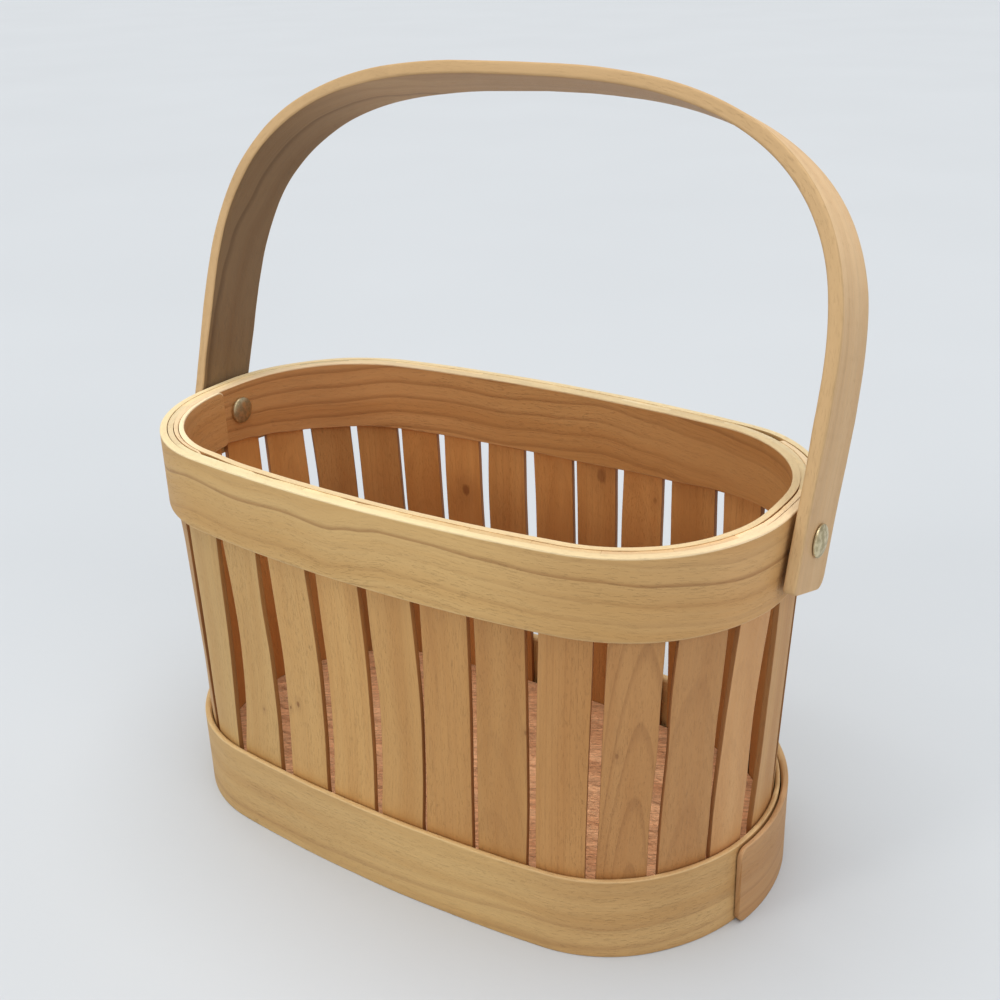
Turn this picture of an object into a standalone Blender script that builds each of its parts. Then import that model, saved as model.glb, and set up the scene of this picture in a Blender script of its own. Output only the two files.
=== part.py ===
"""Oval slat basket for gathering mushrooms, with a swinging bentwood handle.

Metres, +Z up, +X along the basket and +Y to its back. The origin lies on the table,
under the middle of the basket.
"""

import math
from dataclasses import dataclass

import bmesh
import bpy
from mathutils import Matrix, Vector

# Clearances shared by every piece
SEAT_GAP = 0.0003
CUT_OVERRUN = 0.004

# Rim outline, measured on the outer face of the outer band
BASKET_HEIGHT = 0.1705
RIM_HALF_LENGTH = 0.1415
RIM_HALF_WIDTH = 0.0775
RIM_CORNER_SHARE = 0.852
RIM_SIDE_SHARE = 4.6
RIM_END_SHARE = 2.84

# Base outline, measured on the outer face of the base band
BASE_HALF_LENGTH = 0.1375
BASE_HALF_WIDTH = 0.0785
BASE_CORNER_SHARE = 0.79
BASE_SIDE_SHARE = 5.0
BASE_END_SHARE = 1.02

# Rim bands
RIM_BAND_HEIGHT = 0.0325
OUTER_BAND_THICKNESS = 0.0032
INNER_BAND_THICKNESS = 0.0029
BAND_EDGE_EASE = 0.0005
OUTER_LAP_PAST_RIVET = 0.026
OUTER_LAP_LENGTH = 0.040
OUTER_LAP_RUN_OUT = 0.028
OUTER_END_ROUNDING = 0.004
INNER_LAP_PAST_RIVET = 0.011
INNER_LAP_LENGTH = 0.085
INNER_LAP_RUN_OUT = 0.026
INNER_END_ROUNDING = 0.002

# Base band and board
BASE_BAND_HEIGHT = 0.036
BASE_BAND_THICKNESS = 0.0032
BASE_LAP_START_SHARE = 0.970
BASE_LAP_LENGTH = 0.078
BASE_LAP_RUN_OUT = 0.026
BASE_END_ROUNDING = 0.004
BOARD_THICKNESS = 0.0128
BOARD_EDGE_EASE = 0.0008

# Slats
SLAT_COUNT = 29
SLAT_GAP = 0.0042
SLAT_THICKNESS = 0.0023
SLAT_FOOT_CLEARANCE = 0.0005
SLAT_TOP_SET_DOWN = 0.0004
SLAT_COLUMNS = 5
FIRST_GAP_SHARE = 0.6111
SINGLE_DRIFT_SHARE = 0.0033
SINGLE_DRIFT_TURN_SHARE = 0.598
DOUBLE_DRIFT_SHARE = 0.0036
DOUBLE_DRIFT_TURN_SHARE = 0.21

# Handle
PIVOT_SET_DOWN = 0.0125
PIVOT_SET_BACK = 0.005
HANDLE_WIDTH = 0.030
HANDLE_THICKNESS = 0.00485
HANDLE_EDGE_EASE = 0.0008
HANDLE_ARM_RISE = 0.0457
HANDLE_ARCH_RISE = 0.1103
HANDLE_ARM_BOW = 0.0008
HANDLE_FOOT_DROP = 0.0190
HANDLE_FOOT_ROUNDING = 0.0045
HANDLE_ARCH_POWER = 2.8
HANDLE_LEAN_DEGREES = 18.1

# Rivets, their caps and spacers
SHANK_RADIUS = 0.0025
HOLE_CLEARANCE = 0.0003
HEAD_RADIUS = 0.0063
HEAD_HEIGHT = 0.0021
HEAD_RIM_HEIGHT = 0.0006
CAP_RADIUS = 0.0063
CAP_HEIGHT = 0.0023
CAP_RIM_HEIGHT = 0.0009
CAP_SOCKET_DEPTH = 0.0012
SPACER_RADIUS = 0.0070
SPACER_THICKNESS = 0.0010
SPACER_EDGE_EASE = 0.0002

# Fineness of curves
TURN_STEP_DEGREES = 6.5
LONGEST_STEP = 0.014
ROUND_SIDES = 24
DOME_STEPS = 5
ARCH_STEPS = 20
ARM_STEPS = 3
CORNER_STEPS = 4
LAP_STEPS = 5


@dataclass(frozen=True)
class Arc:
    """One arc of an outline, run anticlockwise seen from above."""

    centre: Vector
    radius: float
    start: float
    turn: float

    @property
    def length(self) -> float:
        """Length along the arc."""
        return self.radius * self.turn


@dataclass(frozen=True)
class Oval:
    """An oval of eight arcs: two sides, two ends and four tighter corners between them."""

    half_length: float
    half_width: float
    corner_radius: float
    side_radius: float
    end_radius: float

    def inset(self, depth: float) -> "Oval":
        """The parallel oval this far inside."""
        return Oval(
            self.half_length - depth,
            self.half_width - depth,
            self.corner_radius - depth,
            self.side_radius - depth,
            self.end_radius - depth,
        )

    def quarter(self) -> tuple[Arc, Arc, Arc]:
        """End, corner and side arcs of the quarter at +X and +Y."""
        end_centre = Vector((self.half_length - self.end_radius, 0.0))
        side_centre = Vector((0.0, self.half_width - self.side_radius))
        from_side = self.side_radius - self.corner_radius
        from_end = self.end_radius - self.corner_radius
        between = end_centre - side_centre
        apart = between.length
        along = (from_side**2 - from_end**2 + apart**2) / (2 * apart)
        across = math.sqrt(from_side**2 - along**2)
        direction = between / apart
        corner = side_centre + direction * along + Vector((direction.y, -direction.x)) * across
        end_turn = math.atan2(corner.y - end_centre.y, corner.x - end_centre.x)
        side_start = math.atan2(corner.y - side_centre.y, corner.x - side_centre.x)
        return (
            Arc(end_centre, self.end_radius, 0.0, end_turn),
            Arc(corner, self.corner_radius, end_turn, side_start - end_turn),
            Arc(side_centre, self.side_radius, side_start, math.pi / 2 - side_start),
        )

    def arcs(self) -> list[Arc]:
        """All arcs in order, anticlockwise from the middle of the +X end."""
        quarter = self.quarter()
        found = list(quarter)
        for arc in reversed(quarter):
            centre = Vector((-arc.centre.x, arc.centre.y))
            found.append(Arc(centre, arc.radius, math.pi - arc.start - arc.turn, arc.turn))
        for arc in quarter:
            found.append(Arc(-arc.centre, arc.radius, math.pi + arc.start, arc.turn))
        for arc in reversed(quarter):
            centre = Vector((arc.centre.x, -arc.centre.y))
            found.append(Arc(centre, arc.radius, math.tau - arc.start - arc.turn, arc.turn))
        return found

    @property
    def length(self) -> float:
        """Length once round."""
        return sum(arc.length for arc in self.arcs())

    def at(self, share: float) -> tuple[Vector, Vector]:
        """Point and outward direction at a share of the way round, in plan."""
        left = (share % 1.0) * self.length
        arcs = self.arcs()
        for arc in arcs:
            if left <= arc.length:
                break
            left -= arc.length
        angle = arc.start + min(left / arc.radius, arc.turn)
        outward = Vector((math.cos(angle), math.sin(angle)))
        return arc.centre + outward * arc.radius, outward

    def end_reach(self, aside: float) -> float:
        """How far out the end lies, this far aside of its middle."""
        return self.half_length - self.end_radius + math.sqrt(self.end_radius**2 - aside**2)

    def stations(self, start: float, end: float) -> list[float]:
        """Shares from start to end, close together where the oval turns."""
        whole = self.length
        marks = [0.0]
        for arc in self.arcs():
            by_turn = math.degrees(arc.turn) / TURN_STEP_DEGREES
            by_length = arc.length / LONGEST_STEP
            steps = max(1, math.ceil(max(by_turn, by_length)))
            for _ in range(steps):
                marks.append(marks[-1] + arc.length / steps / whole)
        inside = [
            mark + lap
            for lap in range(math.floor(start), math.ceil(end) + 1)
            for mark in marks[:-1]
        ]
        shortest = LONGEST_STEP / whole / 8
        kept = [start]
        for share in sorted(inside):
            if share > kept[-1] + shortest and share < end - shortest:
                kept.append(share)
        return kept + [end]


RIM_OVAL = Oval(
    RIM_HALF_LENGTH,
    RIM_HALF_WIDTH,
    RIM_HALF_WIDTH * RIM_CORNER_SHARE,
    RIM_HALF_LENGTH * RIM_SIDE_SHARE,
    RIM_HALF_WIDTH * RIM_END_SHARE,
)
BASE_OVAL = Oval(
    BASE_HALF_LENGTH,
    BASE_HALF_WIDTH,
    BASE_HALF_WIDTH * BASE_CORNER_SHARE,
    BASE_HALF_LENGTH * BASE_SIDE_SHARE,
    BASE_HALF_WIDTH * BASE_END_SHARE,
)
SLAT_RIM_OVAL = RIM_OVAL.inset(OUTER_BAND_THICKNESS + SEAT_GAP)
SLAT_BASE_OVAL = BASE_OVAL.inset(BASE_BAND_THICKNESS + SEAT_GAP)
INNER_BAND_OVAL = SLAT_RIM_OVAL.inset(SLAT_THICKNESS + SEAT_GAP)
BOARD_OVAL = SLAT_BASE_OVAL.inset(SLAT_THICKNESS + SEAT_GAP)
RIM_BOTTOM = BASKET_HEIGHT - RIM_BAND_HEIGHT
PIVOT_HEIGHT = BASKET_HEIGHT - PIVOT_SET_DOWN
SLAT_WHOLE = (SLAT_BASE_OVAL.length + SLAT_RIM_OVAL.length) / 2
SLAT_WIDTH = SLAT_WHOLE / SLAT_COUNT - SLAT_GAP
HOLE_RADIUS = SHANK_RADIUS + HOLE_CLEARANCE
ARM_INNER_FACE = RIM_HALF_LENGTH + SEAT_GAP + SPACER_THICKNESS + SEAT_GAP
ARM_OUTER_FACE = ARM_INNER_FACE + HANDLE_THICKNESS
INNER_FACE_OVAL = INNER_BAND_OVAL.inset(INNER_BAND_THICKNESS)
CAP_SEAT = INNER_FACE_OVAL.end_reach(PIVOT_SET_BACK + CAP_RADIUS) - SEAT_GAP


def clear_scene() -> None:
    """Removes whatever the scene holds."""
    for obj in list(bpy.data.objects):
        bpy.data.objects.remove(obj, do_unlink=True)


def wood(name: str, colour: tuple[float, float, float], roughness: float) -> bpy.types.Material:
    """A Principled material.

    Args:
        name: the material's name.
        colour: linear base colour.
        roughness: how matt it is.
    """
    material = bpy.data.materials.new(name)
    material.use_nodes = True
    shader = material.node_tree.nodes["Principled BSDF"]
    shader.inputs["Base Color"].default_value = (*colour, 1.0)
    shader.inputs["Roughness"].default_value = roughness
    shader.inputs["Metallic"].default_value = 0.0
    return material


def brass(name: str, colour: tuple[float, float, float], roughness: float) -> bpy.types.Material:
    """The same for a metal piece."""
    material = wood(name, colour, roughness)
    material.node_tree.nodes["Principled BSDF"].inputs["Metallic"].default_value = 1.0
    return material


def add_object(name: str, built: bmesh.types.BMesh, material: bpy.types.Material) -> bpy.types.Object:
    """Turns a finished bmesh into a named object with its material.

    Args:
        name: the sub-part's name.
        built: its closed mesh, freed here.
        material: what it is made of.
    """
    bmesh.ops.recalc_face_normals(built, faces=built.faces)
    mesh = bpy.data.meshes.new(name)
    built.to_mesh(mesh)
    built.free()
    mesh.materials.append(material)
    obj = bpy.data.objects.new(name, mesh)
    bpy.context.scene.collection.objects.link(obj)
    return obj


def shade_round(obj: bpy.types.Object, crease_degrees: float = 30.0) -> None:
    """Shades a piece smooth but for its corners."""
    obj.data.shade_smooth()
    obj.data.set_sharp_from_angle(angle=math.radians(crease_degrees))


def loft(sections: list[list[Vector]]) -> bmesh.types.BMesh:
    """A closed solid through matching rings of points, capped at both ends."""
    built = bmesh.new()
    rings = [[built.verts.new(point) for point in section] for section in sections]
    for ring, following in zip(rings, rings[1:]):
        for index, vertex in enumerate(ring):
            after = (index + 1) % len(ring)
            built.faces.new((vertex, ring[after], following[after], following[index]))
    built.faces.new(rings[0])
    built.faces.new(reversed(rings[-1]))
    return built


def eased_rectangle(low: float, high: float, bottom: float, top: float, ease: float) -> list[tuple[float, float]]:
    """Corners of a rectangle with its four edges eased off.

    Args:
        low: least depth.
        high: greatest depth.
        bottom: least height.
        top: greatest height.
        ease: width taken off each edge.
    """
    return [
        (low, bottom + ease),
        (low + ease, bottom),
        (high - ease, bottom),
        (high, bottom + ease),
        (high, top - ease),
        (high - ease, top),
        (low + ease, top),
        (low, top - ease),
    ]


def smooth_step(share: float) -> float:
    """0 to 1 with level ends."""
    held = min(max(share, 0.0), 1.0)
    return held * held * (3.0 - 2.0 * held)


def rounding_at(distance: float, radius: float) -> float:
    """How much a rounded end takes off its edge, this far from the end."""
    left = radius - min(max(distance, 0.0), radius)
    return radius - math.sqrt(radius**2 - left**2)


def end_distances(radius: float) -> list[float]:
    """Distances from a rounded end at which its strip needs a section."""
    return [radius * (1.0 - math.cos(math.pi / 2 * step / CORNER_STEPS)) for step in range(CORNER_STEPS + 1)]


@dataclass(frozen=True)
class Band:
    """A strip bent once round an oval, whose first stretch stands off and laps over its end.

    Attributes:
        name: the sub-part's name.
        face: oval that the strip's outward face follows, or its inward face with inside set.
        inside: whether the strip lies inside its face oval, so that its lap stands inwards.
        thickness: the strip's thickness.
        bottom: height of its lower edge.
        top: height of its upper edge.
        start: share at which its first, outstanding end lies.
        lap: share of the way round that the lap takes.
        run_out: share in which the strip comes back to its face after the lap.
        rounding: radius of its end corners.
    """

    name: str
    face: Oval
    inside: bool
    thickness: float
    bottom: float
    top: float
    start: float
    lap: float
    run_out: float
    rounding: float

    @property
    def end(self) -> float:
        """Share at which the covered end lies."""
        return self.start + self.lap + 1.0

    def depth(self, share: float) -> float:
        """Where the strip's near face lies, outwards from its face oval, at a share."""
        left = (self.start + self.lap + self.run_out - share) / self.run_out
        step = (self.thickness + SEAT_GAP) * smooth_step(left)
        return -self.thickness - step if self.inside else step

    def section(self, share: float) -> list[Vector]:
        """The strip's cross-section at a share of the way round."""
        whole = self.face.length
        near = min(share - self.start, self.end - share) * whole
        taken = rounding_at(near, self.rounding)
        point, outward = self.face.at(share)
        low = self.depth(share)
        corners = eased_rectangle(
            low, low + self.thickness, self.bottom + taken, self.top - taken, BAND_EDGE_EASE
        )
        return [Vector((*(point + outward * out), height)) for out, height in corners]

    def shares(self) -> list[float]:
        """Shares at which the strip has a section."""
        whole = self.face.length
        ends = [distance / whole for distance in end_distances(self.rounding)]
        lap_end = self.start + self.lap
        run_out = [lap_end + self.run_out * step / LAP_STEPS for step in range(LAP_STEPS + 1)]
        found = [self.start + end for end in ends[:-1]]
        found += self.face.stations(self.start + ends[-1], lap_end)[:-1]
        found += run_out
        found += self.face.stations(run_out[-1], self.end - ends[-1])[1:]
        found += [self.end - end for end in reversed(ends[:-1])]
        return found

    def build(self, material: bpy.types.Material) -> bpy.types.Object:
        """Makes the strip."""
        obj = add_object(self.name, loft([self.section(share) for share in self.shares()]), material)
        shade_round(obj)
        return obj


def rim_outer_band() -> Band:
    """The band outside the slats, lapped behind the right rivet."""
    face = RIM_OVAL.inset(OUTER_BAND_THICKNESS)
    right_rivet = PIVOT_SET_BACK / face.length
    return Band(
        name="rim_outer_band",
        face=face,
        inside=False,
        thickness=OUTER_BAND_THICKNESS,
        bottom=RIM_BOTTOM,
        top=BASKET_HEIGHT,
        start=right_rivet + OUTER_LAP_PAST_RIVET / face.length,
        lap=OUTER_LAP_LENGTH / face.length,
        run_out=OUTER_LAP_RUN_OUT / face.length,
        rounding=OUTER_END_ROUNDING,
    )


def rim_inner_band() -> Band:
    """The band inside the slats, lapped in front of the left rivet."""
    face = INNER_BAND_OVAL
    left_rivet = 0.5 - PIVOT_SET_BACK / face.length
    return Band(
        name="rim_inner_band",
        face=face,
        inside=True,
        thickness=INNER_BAND_THICKNESS,
        bottom=RIM_BOTTOM,
        top=BASKET_HEIGHT,
        start=left_rivet + INNER_LAP_PAST_RIVET / face.length,
        lap=INNER_LAP_LENGTH / face.length,
        run_out=INNER_LAP_RUN_OUT / face.length,
        rounding=INNER_END_ROUNDING,
    )


def base_band() -> Band:
    """The band round the foot of the slats, lapped at the right end."""
    face = BASE_OVAL.inset(BASE_BAND_THICKNESS)
    return Band(
        name="base_band",
        face=face,
        inside=False,
        thickness=BASE_BAND_THICKNESS,
        bottom=0.0,
        top=BASE_BAND_HEIGHT,
        start=BASE_LAP_START_SHARE,
        lap=BASE_LAP_LENGTH / face.length,
        run_out=BASE_LAP_RUN_OUT / face.length,
        rounding=BASE_END_ROUNDING,
    )


def build_board(material: bpy.types.Material) -> bpy.types.Object:
    """The oval base board, flush with the bottom of its band."""
    shares = BOARD_OVAL.stations(0.0, 1.0)[:-1]
    rings = []
    for inset, height in (
        (BOARD_EDGE_EASE, 0.0),
        (0.0, BOARD_EDGE_EASE),
        (0.0, BOARD_THICKNESS - BOARD_EDGE_EASE),
        (BOARD_EDGE_EASE, BOARD_THICKNESS),
    ):
        ring = []
        for share in shares:
            point, outward = BOARD_OVAL.at(share)
            ring.append(Vector((*(point - outward * inset), height)))
        rings.append(ring)
    obj = add_object("base_board", loft(rings), material)
    shade_round(obj)
    return obj


def gap_share(index: float) -> float:
    """Where the gap before a slat lies, as a share of the way round.

    Slats are laid at an even pitch that drifts a little, once and twice in each round.
    """
    even = index / SLAT_COUNT
    single = SINGLE_DRIFT_SHARE * math.cos(math.tau * (even - SINGLE_DRIFT_TURN_SHARE))
    double = DOUBLE_DRIFT_SHARE * math.cos(math.tau * (2 * even - DOUBLE_DRIFT_TURN_SHARE))
    return FIRST_GAP_SHARE + even + single + double


def wall_point(share: float, height: float, depth: float) -> Vector:
    """A point on the slatted wall, this deep behind the slats' outer face."""
    rise = (height - BASE_BAND_HEIGHT) / (RIM_BOTTOM - BASE_BAND_HEIGHT)
    up = min(max(rise, 0.0), 1.0)
    low, low_out = SLAT_BASE_OVAL.at(share)
    high, high_out = SLAT_RIM_OVAL.at(share)
    outward = low_out.lerp(high_out, up).normalized()
    return Vector((*(low.lerp(high, up) - outward * depth), height))


def slat_centre(index: int) -> float:
    """Share of the way round at a slat's middle."""
    return (gap_share(index) + gap_share(index + 1)) / 2


def build_slat(index: int, material: bpy.types.Material) -> bpy.types.Object:
    """One upright slat, bent across its width by the bands that hold it."""
    centre = slat_centre(index)
    heights = (SLAT_FOOT_CLEARANCE, BASE_BAND_HEIGHT, RIM_BOTTOM, BASKET_HEIGHT - SLAT_TOP_SET_DOWN)
    across = [column / (SLAT_COLUMNS - 1) - 0.5 for column in range(SLAT_COLUMNS)]
    sections = []
    for height in heights:
        outer = [wall_point(centre + side * SLAT_WIDTH / SLAT_WHOLE, height, 0.0) for side in across]
        inner = [wall_point(centre + side * SLAT_WIDTH / SLAT_WHOLE, height, SLAT_THICKNESS) for side in across]
        sections.append(outer + inner[::-1])
    obj = add_object(f"slat_{index + 1:02d}", loft(sections), material)
    shade_round(obj)
    return obj


def arch_point(angle: float) -> tuple[Vector, Vector]:
    """Point and outward direction on the handle's middle line, from its side up to its crown.

    Args:
        angle: the outward direction's angle above level.
    """
    half = ARM_INNER_FACE + HANDLE_THICKNESS / 2 + HANDLE_ARM_BOW
    rise = HANDLE_ARCH_RISE
    power = HANDLE_ARCH_POWER
    level = max(half * math.cos(angle), 0.0)
    upright = max(rise * math.sin(angle), 0.0)
    share = 1.0 / (power - 1.0)
    spread = level ** (power * share) + upright ** (power * share)
    out = half * level**share / spread ** (1.0 / power)
    up = rise * upright**share / spread ** (1.0 / power)
    return Vector((out, HANDLE_ARM_RISE + up)), Vector((math.cos(angle), math.sin(angle)))


def handle_stations() -> list[tuple[Vector, Vector, float]]:
    """Middle line point, outward direction and distance from the foot, from foot to crown."""
    half = ARM_INNER_FACE + HANDLE_THICKNESS / 2
    outward = Vector((1.0, 0.0))
    heights = [distance - HANDLE_FOOT_DROP for distance in end_distances(HANDLE_FOOT_ROUNDING)]
    straight = HANDLE_ARM_RISE - heights[-1]
    heights += [heights[-1] + straight * step / ARM_STEPS for step in range(1, ARM_STEPS)]
    found = []
    for height in heights:
        bow = HANDLE_ARM_BOW * smooth_step(height / HANDLE_ARM_RISE)
        found.append((Vector((half + bow, height)), outward, height + HANDLE_FOOT_DROP))
    for step in range(ARCH_STEPS + 1):
        point, direction = arch_point(math.pi / 2 * step / ARCH_STEPS)
        found.append((point, direction, point.y + HANDLE_FOOT_DROP))
    return found


def build_handle(material: bpy.types.Material) -> bpy.types.Object:
    """The bent handle, its origin on the rivets' line and leaning to the basket's back."""
    half = handle_stations()
    other = [(Vector((-point.x, point.y)), Vector((-out.x, out.y)), far) for point, out, far in half[:-1]]
    sections = []
    for point, outward, far in other + half[::-1]:
        taken = rounding_at(far, HANDLE_FOOT_ROUNDING)
        corners = eased_rectangle(
            -HANDLE_THICKNESS / 2,
            HANDLE_THICKNESS / 2,
            taken - HANDLE_WIDTH / 2,
            HANDLE_WIDTH / 2 - taken,
            HANDLE_EDGE_EASE,
        )
        ring = []
        for out, across in corners:
            place = point + outward * out
            ring.append(Vector((place.x, across, place.y)))
        sections.append(ring)
    obj = add_object("handle", loft(sections), material)
    obj.location = (0.0, PIVOT_SET_BACK, PIVOT_HEIGHT)
    obj.rotation_euler = (-math.radians(HANDLE_LEAN_DEGREES), 0.0, 0.0)
    shade_round(obj)
    return obj


def turned(name: str, profile: list[tuple[float, float]], side: int, material: bpy.types.Material) -> bpy.types.Object:
    """A piece turned about the rivets' line.

    Args:
        name: the sub-part's name.
        profile: closed or axis-to-axis points as (distance out from the basket's middle, radius).
        side: 1 for the +X end of the basket and -1 for the other.
        material: what it is made of.
    """
    built = bmesh.new()
    line = [built.verts.new((out * side, 0.0, radius)) for out, radius in profile]
    edges = [built.edges.new(pair) for pair in zip(line, line[1:])]
    if profile[0][1] > 0.0:
        edges.append(built.edges.new((line[-1], line[0])))
    bmesh.ops.spin(
        built, geom=line + edges, cent=(0.0, 0.0, 0.0), axis=(1.0, 0.0, 0.0),
        angle=math.tau, steps=ROUND_SIDES, use_merge=True, use_duplicate=False,
    )
    bmesh.ops.remove_doubles(built, verts=built.verts, dist=SEAT_GAP / 100)
    obj = add_object(name, built, material)
    obj.location = (0.0, PIVOT_SET_BACK, PIVOT_HEIGHT)
    shade_round(obj)
    return obj


def build_spacer(name: str, side: int, material: bpy.types.Material) -> bpy.types.Object:
    """A flat washer round a rivet, between the rim and the handle's arm.

    Args:
        name: the sub-part's name.
        side: 1 for the +X end of the basket and -1 for the other.
        material: what it is made of.
    """
    near = RIM_HALF_LENGTH + SEAT_GAP
    far = near + SPACER_THICKNESS
    profile = [
        (near, HOLE_RADIUS),
        (near, SPACER_RADIUS - SPACER_EDGE_EASE),
        (near + SPACER_EDGE_EASE, SPACER_RADIUS),
        (far - SPACER_EDGE_EASE, SPACER_RADIUS),
        (far, SPACER_RADIUS - SPACER_EDGE_EASE),
        (far, HOLE_RADIUS),
    ]
    return turned(name, profile, side, material)


def dome(base: float, radius: float, height: float) -> list[tuple[float, float]]:
    """Points of a low dome from its edge to its top.

    Args:
        base: where the dome's edge lies, out from the middle of the basket.
        radius: the dome's radius at its edge.
        height: how far it rises, outwards, or inwards if it is negative.
    """
    found = []
    for step in range(DOME_STEPS):
        angle = math.pi / 2 * step / DOME_STEPS
        found.append((base + height * math.sin(angle), radius * math.cos(angle)))
    return found + [(base + height, 0.0)]


def build_rivet(name: str, side: int, material: bpy.types.Material) -> bpy.types.Object:
    """A rivet: domed head outside the arm, and shank through arm, spacer and rim.

    Args:
        name: the sub-part's name.
        side: 1 for the +X end of the basket and -1 for the other.
        material: what it is made of.
    """
    seat = ARM_OUTER_FACE + SEAT_GAP
    tip = CAP_SEAT - CAP_SOCKET_DEPTH + SEAT_GAP
    profile = [(tip, 0.0), (tip, SHANK_RADIUS), (seat, SHANK_RADIUS), (seat, HEAD_RADIUS)]
    profile += dome(seat + HEAD_RIM_HEIGHT, HEAD_RADIUS, HEAD_HEIGHT - HEAD_RIM_HEIGHT)
    return turned(name, profile, side, material)


def build_cap(name: str, side: int, material: bpy.types.Material) -> bpy.types.Object:
    """The rivet's domed cap, inside the rim over the end of the shank.

    Args:
        name: the sub-part's name.
        side: 1 for the +X end of the basket and -1 for the other.
        material: what it is made of.
    """
    socket = CAP_SEAT - CAP_SOCKET_DEPTH
    profile = [(socket, 0.0), (socket, HOLE_RADIUS), (CAP_SEAT, HOLE_RADIUS), (CAP_SEAT, CAP_RADIUS)]
    profile += dome(CAP_SEAT - CAP_RIM_HEIGHT, CAP_RADIUS, CAP_RIM_HEIGHT - CAP_HEIGHT)
    return turned(name, profile, side, material)


def build_fastenings(metal: bpy.types.Material) -> None:
    """Rivets, caps and spacers at both ends of the basket."""
    for end, side in (("right", 1), ("left", -1)):
        build_rivet(f"rivet_{end}", side, metal)
        build_cap(f"rivet_cap_{end}", side, metal)
        build_spacer(f"spacer_{end}", side, metal)


def hole_cutter() -> bpy.types.Object:
    """A long pin on the rivets' line that drills every piece the rivets pass through."""
    built = bmesh.new()
    reach = 2 * (ARM_OUTER_FACE + HANDLE_ARM_BOW + CUT_OVERRUN)
    bmesh.ops.create_cone(
        built, cap_ends=True, segments=ROUND_SIDES, radius1=HOLE_RADIUS, radius2=HOLE_RADIUS, depth=reach,
        matrix=Matrix.Rotation(math.pi / 2, 4, "Y"),
    )
    mesh = bpy.data.meshes.new("rivet_hole_cutter")
    built.to_mesh(mesh)
    built.free()
    cutter = bpy.data.objects.new("rivet_hole_cutter", mesh)
    bpy.context.scene.collection.objects.link(cutter)
    cutter.location = (0.0, PIVOT_SET_BACK, PIVOT_HEIGHT)
    cutter.hide_render = True
    cutter.display_type = "WIRE"
    return cutter


def drill(obj: bpy.types.Object, cutter: bpy.types.Object) -> None:
    """Cuts the rivet holes in a piece."""
    cut = obj.modifiers.new("rivet_hole", "BOOLEAN")
    cut.operation = "DIFFERENCE"
    cut.solver = "EXACT"
    cut.object = cutter


def meets_rivet(slat: bpy.types.Object) -> bool:
    """Whether a rivet's hole passes through this slat."""
    sides = [vertex.co.y - PIVOT_SET_BACK for vertex in slat.data.vertices]
    return min(sides) < HOLE_RADIUS and max(sides) > -HOLE_RADIUS


def main() -> None:
    """Builds the basket."""
    clear_scene()
    band_wood = wood("band_wood", (0.56, 0.38, 0.17), 0.55)
    base_wood = wood("base_band_wood", (0.54, 0.36, 0.16), 0.55)
    slat_wood = wood("slat_wood", (0.50, 0.31, 0.14), 0.6)
    board_wood = wood("board_wood", (0.55, 0.30, 0.17), 0.75)
    handle_wood = wood("handle_wood", (0.48, 0.29, 0.13), 0.5)
    metal = brass("antique_brass", (0.60, 0.46, 0.26), 0.35)
    rim_bands = [band.build(band_wood) for band in (rim_outer_band(), rim_inner_band())]
    base_band().build(base_wood)
    build_board(board_wood)
    slats = [build_slat(index, slat_wood) for index in range(SLAT_COUNT)]
    handle = build_handle(handle_wood)
    build_fastenings(metal)
    cutter = hole_cutter()
    for piece in [*rim_bands, handle, *filter(meets_rivet, slats)]:
        drill(piece, cutter)


main()
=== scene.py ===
"""Looks of the oval slat basket: bent woods, brass rivets, studio and camera.

Sizes are metres in the frame of the solids, +Z up, +X along the basket and +Y to its back, with
the origin on the table under the middle of the basket. A share is a part of the way round an
oval, anticlockwise seen from above, from the middle of its right end.
"""

import logging
import math
import random
from dataclasses import astuple, dataclass, replace
from enum import Enum

import bpy
from mathutils import Matrix, Vector, noise

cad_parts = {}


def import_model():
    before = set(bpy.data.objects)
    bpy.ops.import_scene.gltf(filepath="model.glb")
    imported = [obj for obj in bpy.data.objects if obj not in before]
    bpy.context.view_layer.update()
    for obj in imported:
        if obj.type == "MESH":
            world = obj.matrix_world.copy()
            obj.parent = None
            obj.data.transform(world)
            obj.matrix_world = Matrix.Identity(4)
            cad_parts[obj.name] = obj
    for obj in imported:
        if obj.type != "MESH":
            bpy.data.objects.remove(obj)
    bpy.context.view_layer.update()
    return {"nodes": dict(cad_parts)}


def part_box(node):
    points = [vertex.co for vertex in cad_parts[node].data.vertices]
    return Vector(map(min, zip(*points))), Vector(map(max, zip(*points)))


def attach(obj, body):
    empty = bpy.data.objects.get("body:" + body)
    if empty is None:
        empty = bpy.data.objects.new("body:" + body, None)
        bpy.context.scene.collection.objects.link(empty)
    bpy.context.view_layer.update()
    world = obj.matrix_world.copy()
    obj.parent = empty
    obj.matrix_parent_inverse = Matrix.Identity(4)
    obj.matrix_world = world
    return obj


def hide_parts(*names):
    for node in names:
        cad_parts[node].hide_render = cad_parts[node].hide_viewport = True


LOG = logging.getLogger("basket")

Colour = tuple[float, float, float]
Line = tuple[tuple[float, float], ...]
Tones = tuple[tuple[float, Colour], ...]
Socket = bpy.types.NodeSocket
Finish = bpy.types.Material
PLAIN: Colour = (1.0, 1.0, 1.0)
# Faces that meet at a sharper angle than this show an edge
SHARP_DEGREES = 38
# How a log's grain sways: how often for each metre along it, and its share of the whole sway
SWAYS = ((7.0, 3.1, 0.3, 1.0), (22.0, 5.7, 4.0, 0.3))
# Where a narrow face of a strip gets cross-sections between its rounded edges
SIDE_SHARES = (0.15, 0.5, 0.85)


class Cut(Enum):
    """How a piece was cut from its log."""

    FLAT = "flat"
    RIFT = "rift"
    QUARTER = "quarter"


def smooth_step(share: float) -> float:
    """0 to 1 with level ends."""
    held = min(max(share, 0.0), 1.0)
    return held * held * (3.0 - 2.0 * held)


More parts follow.
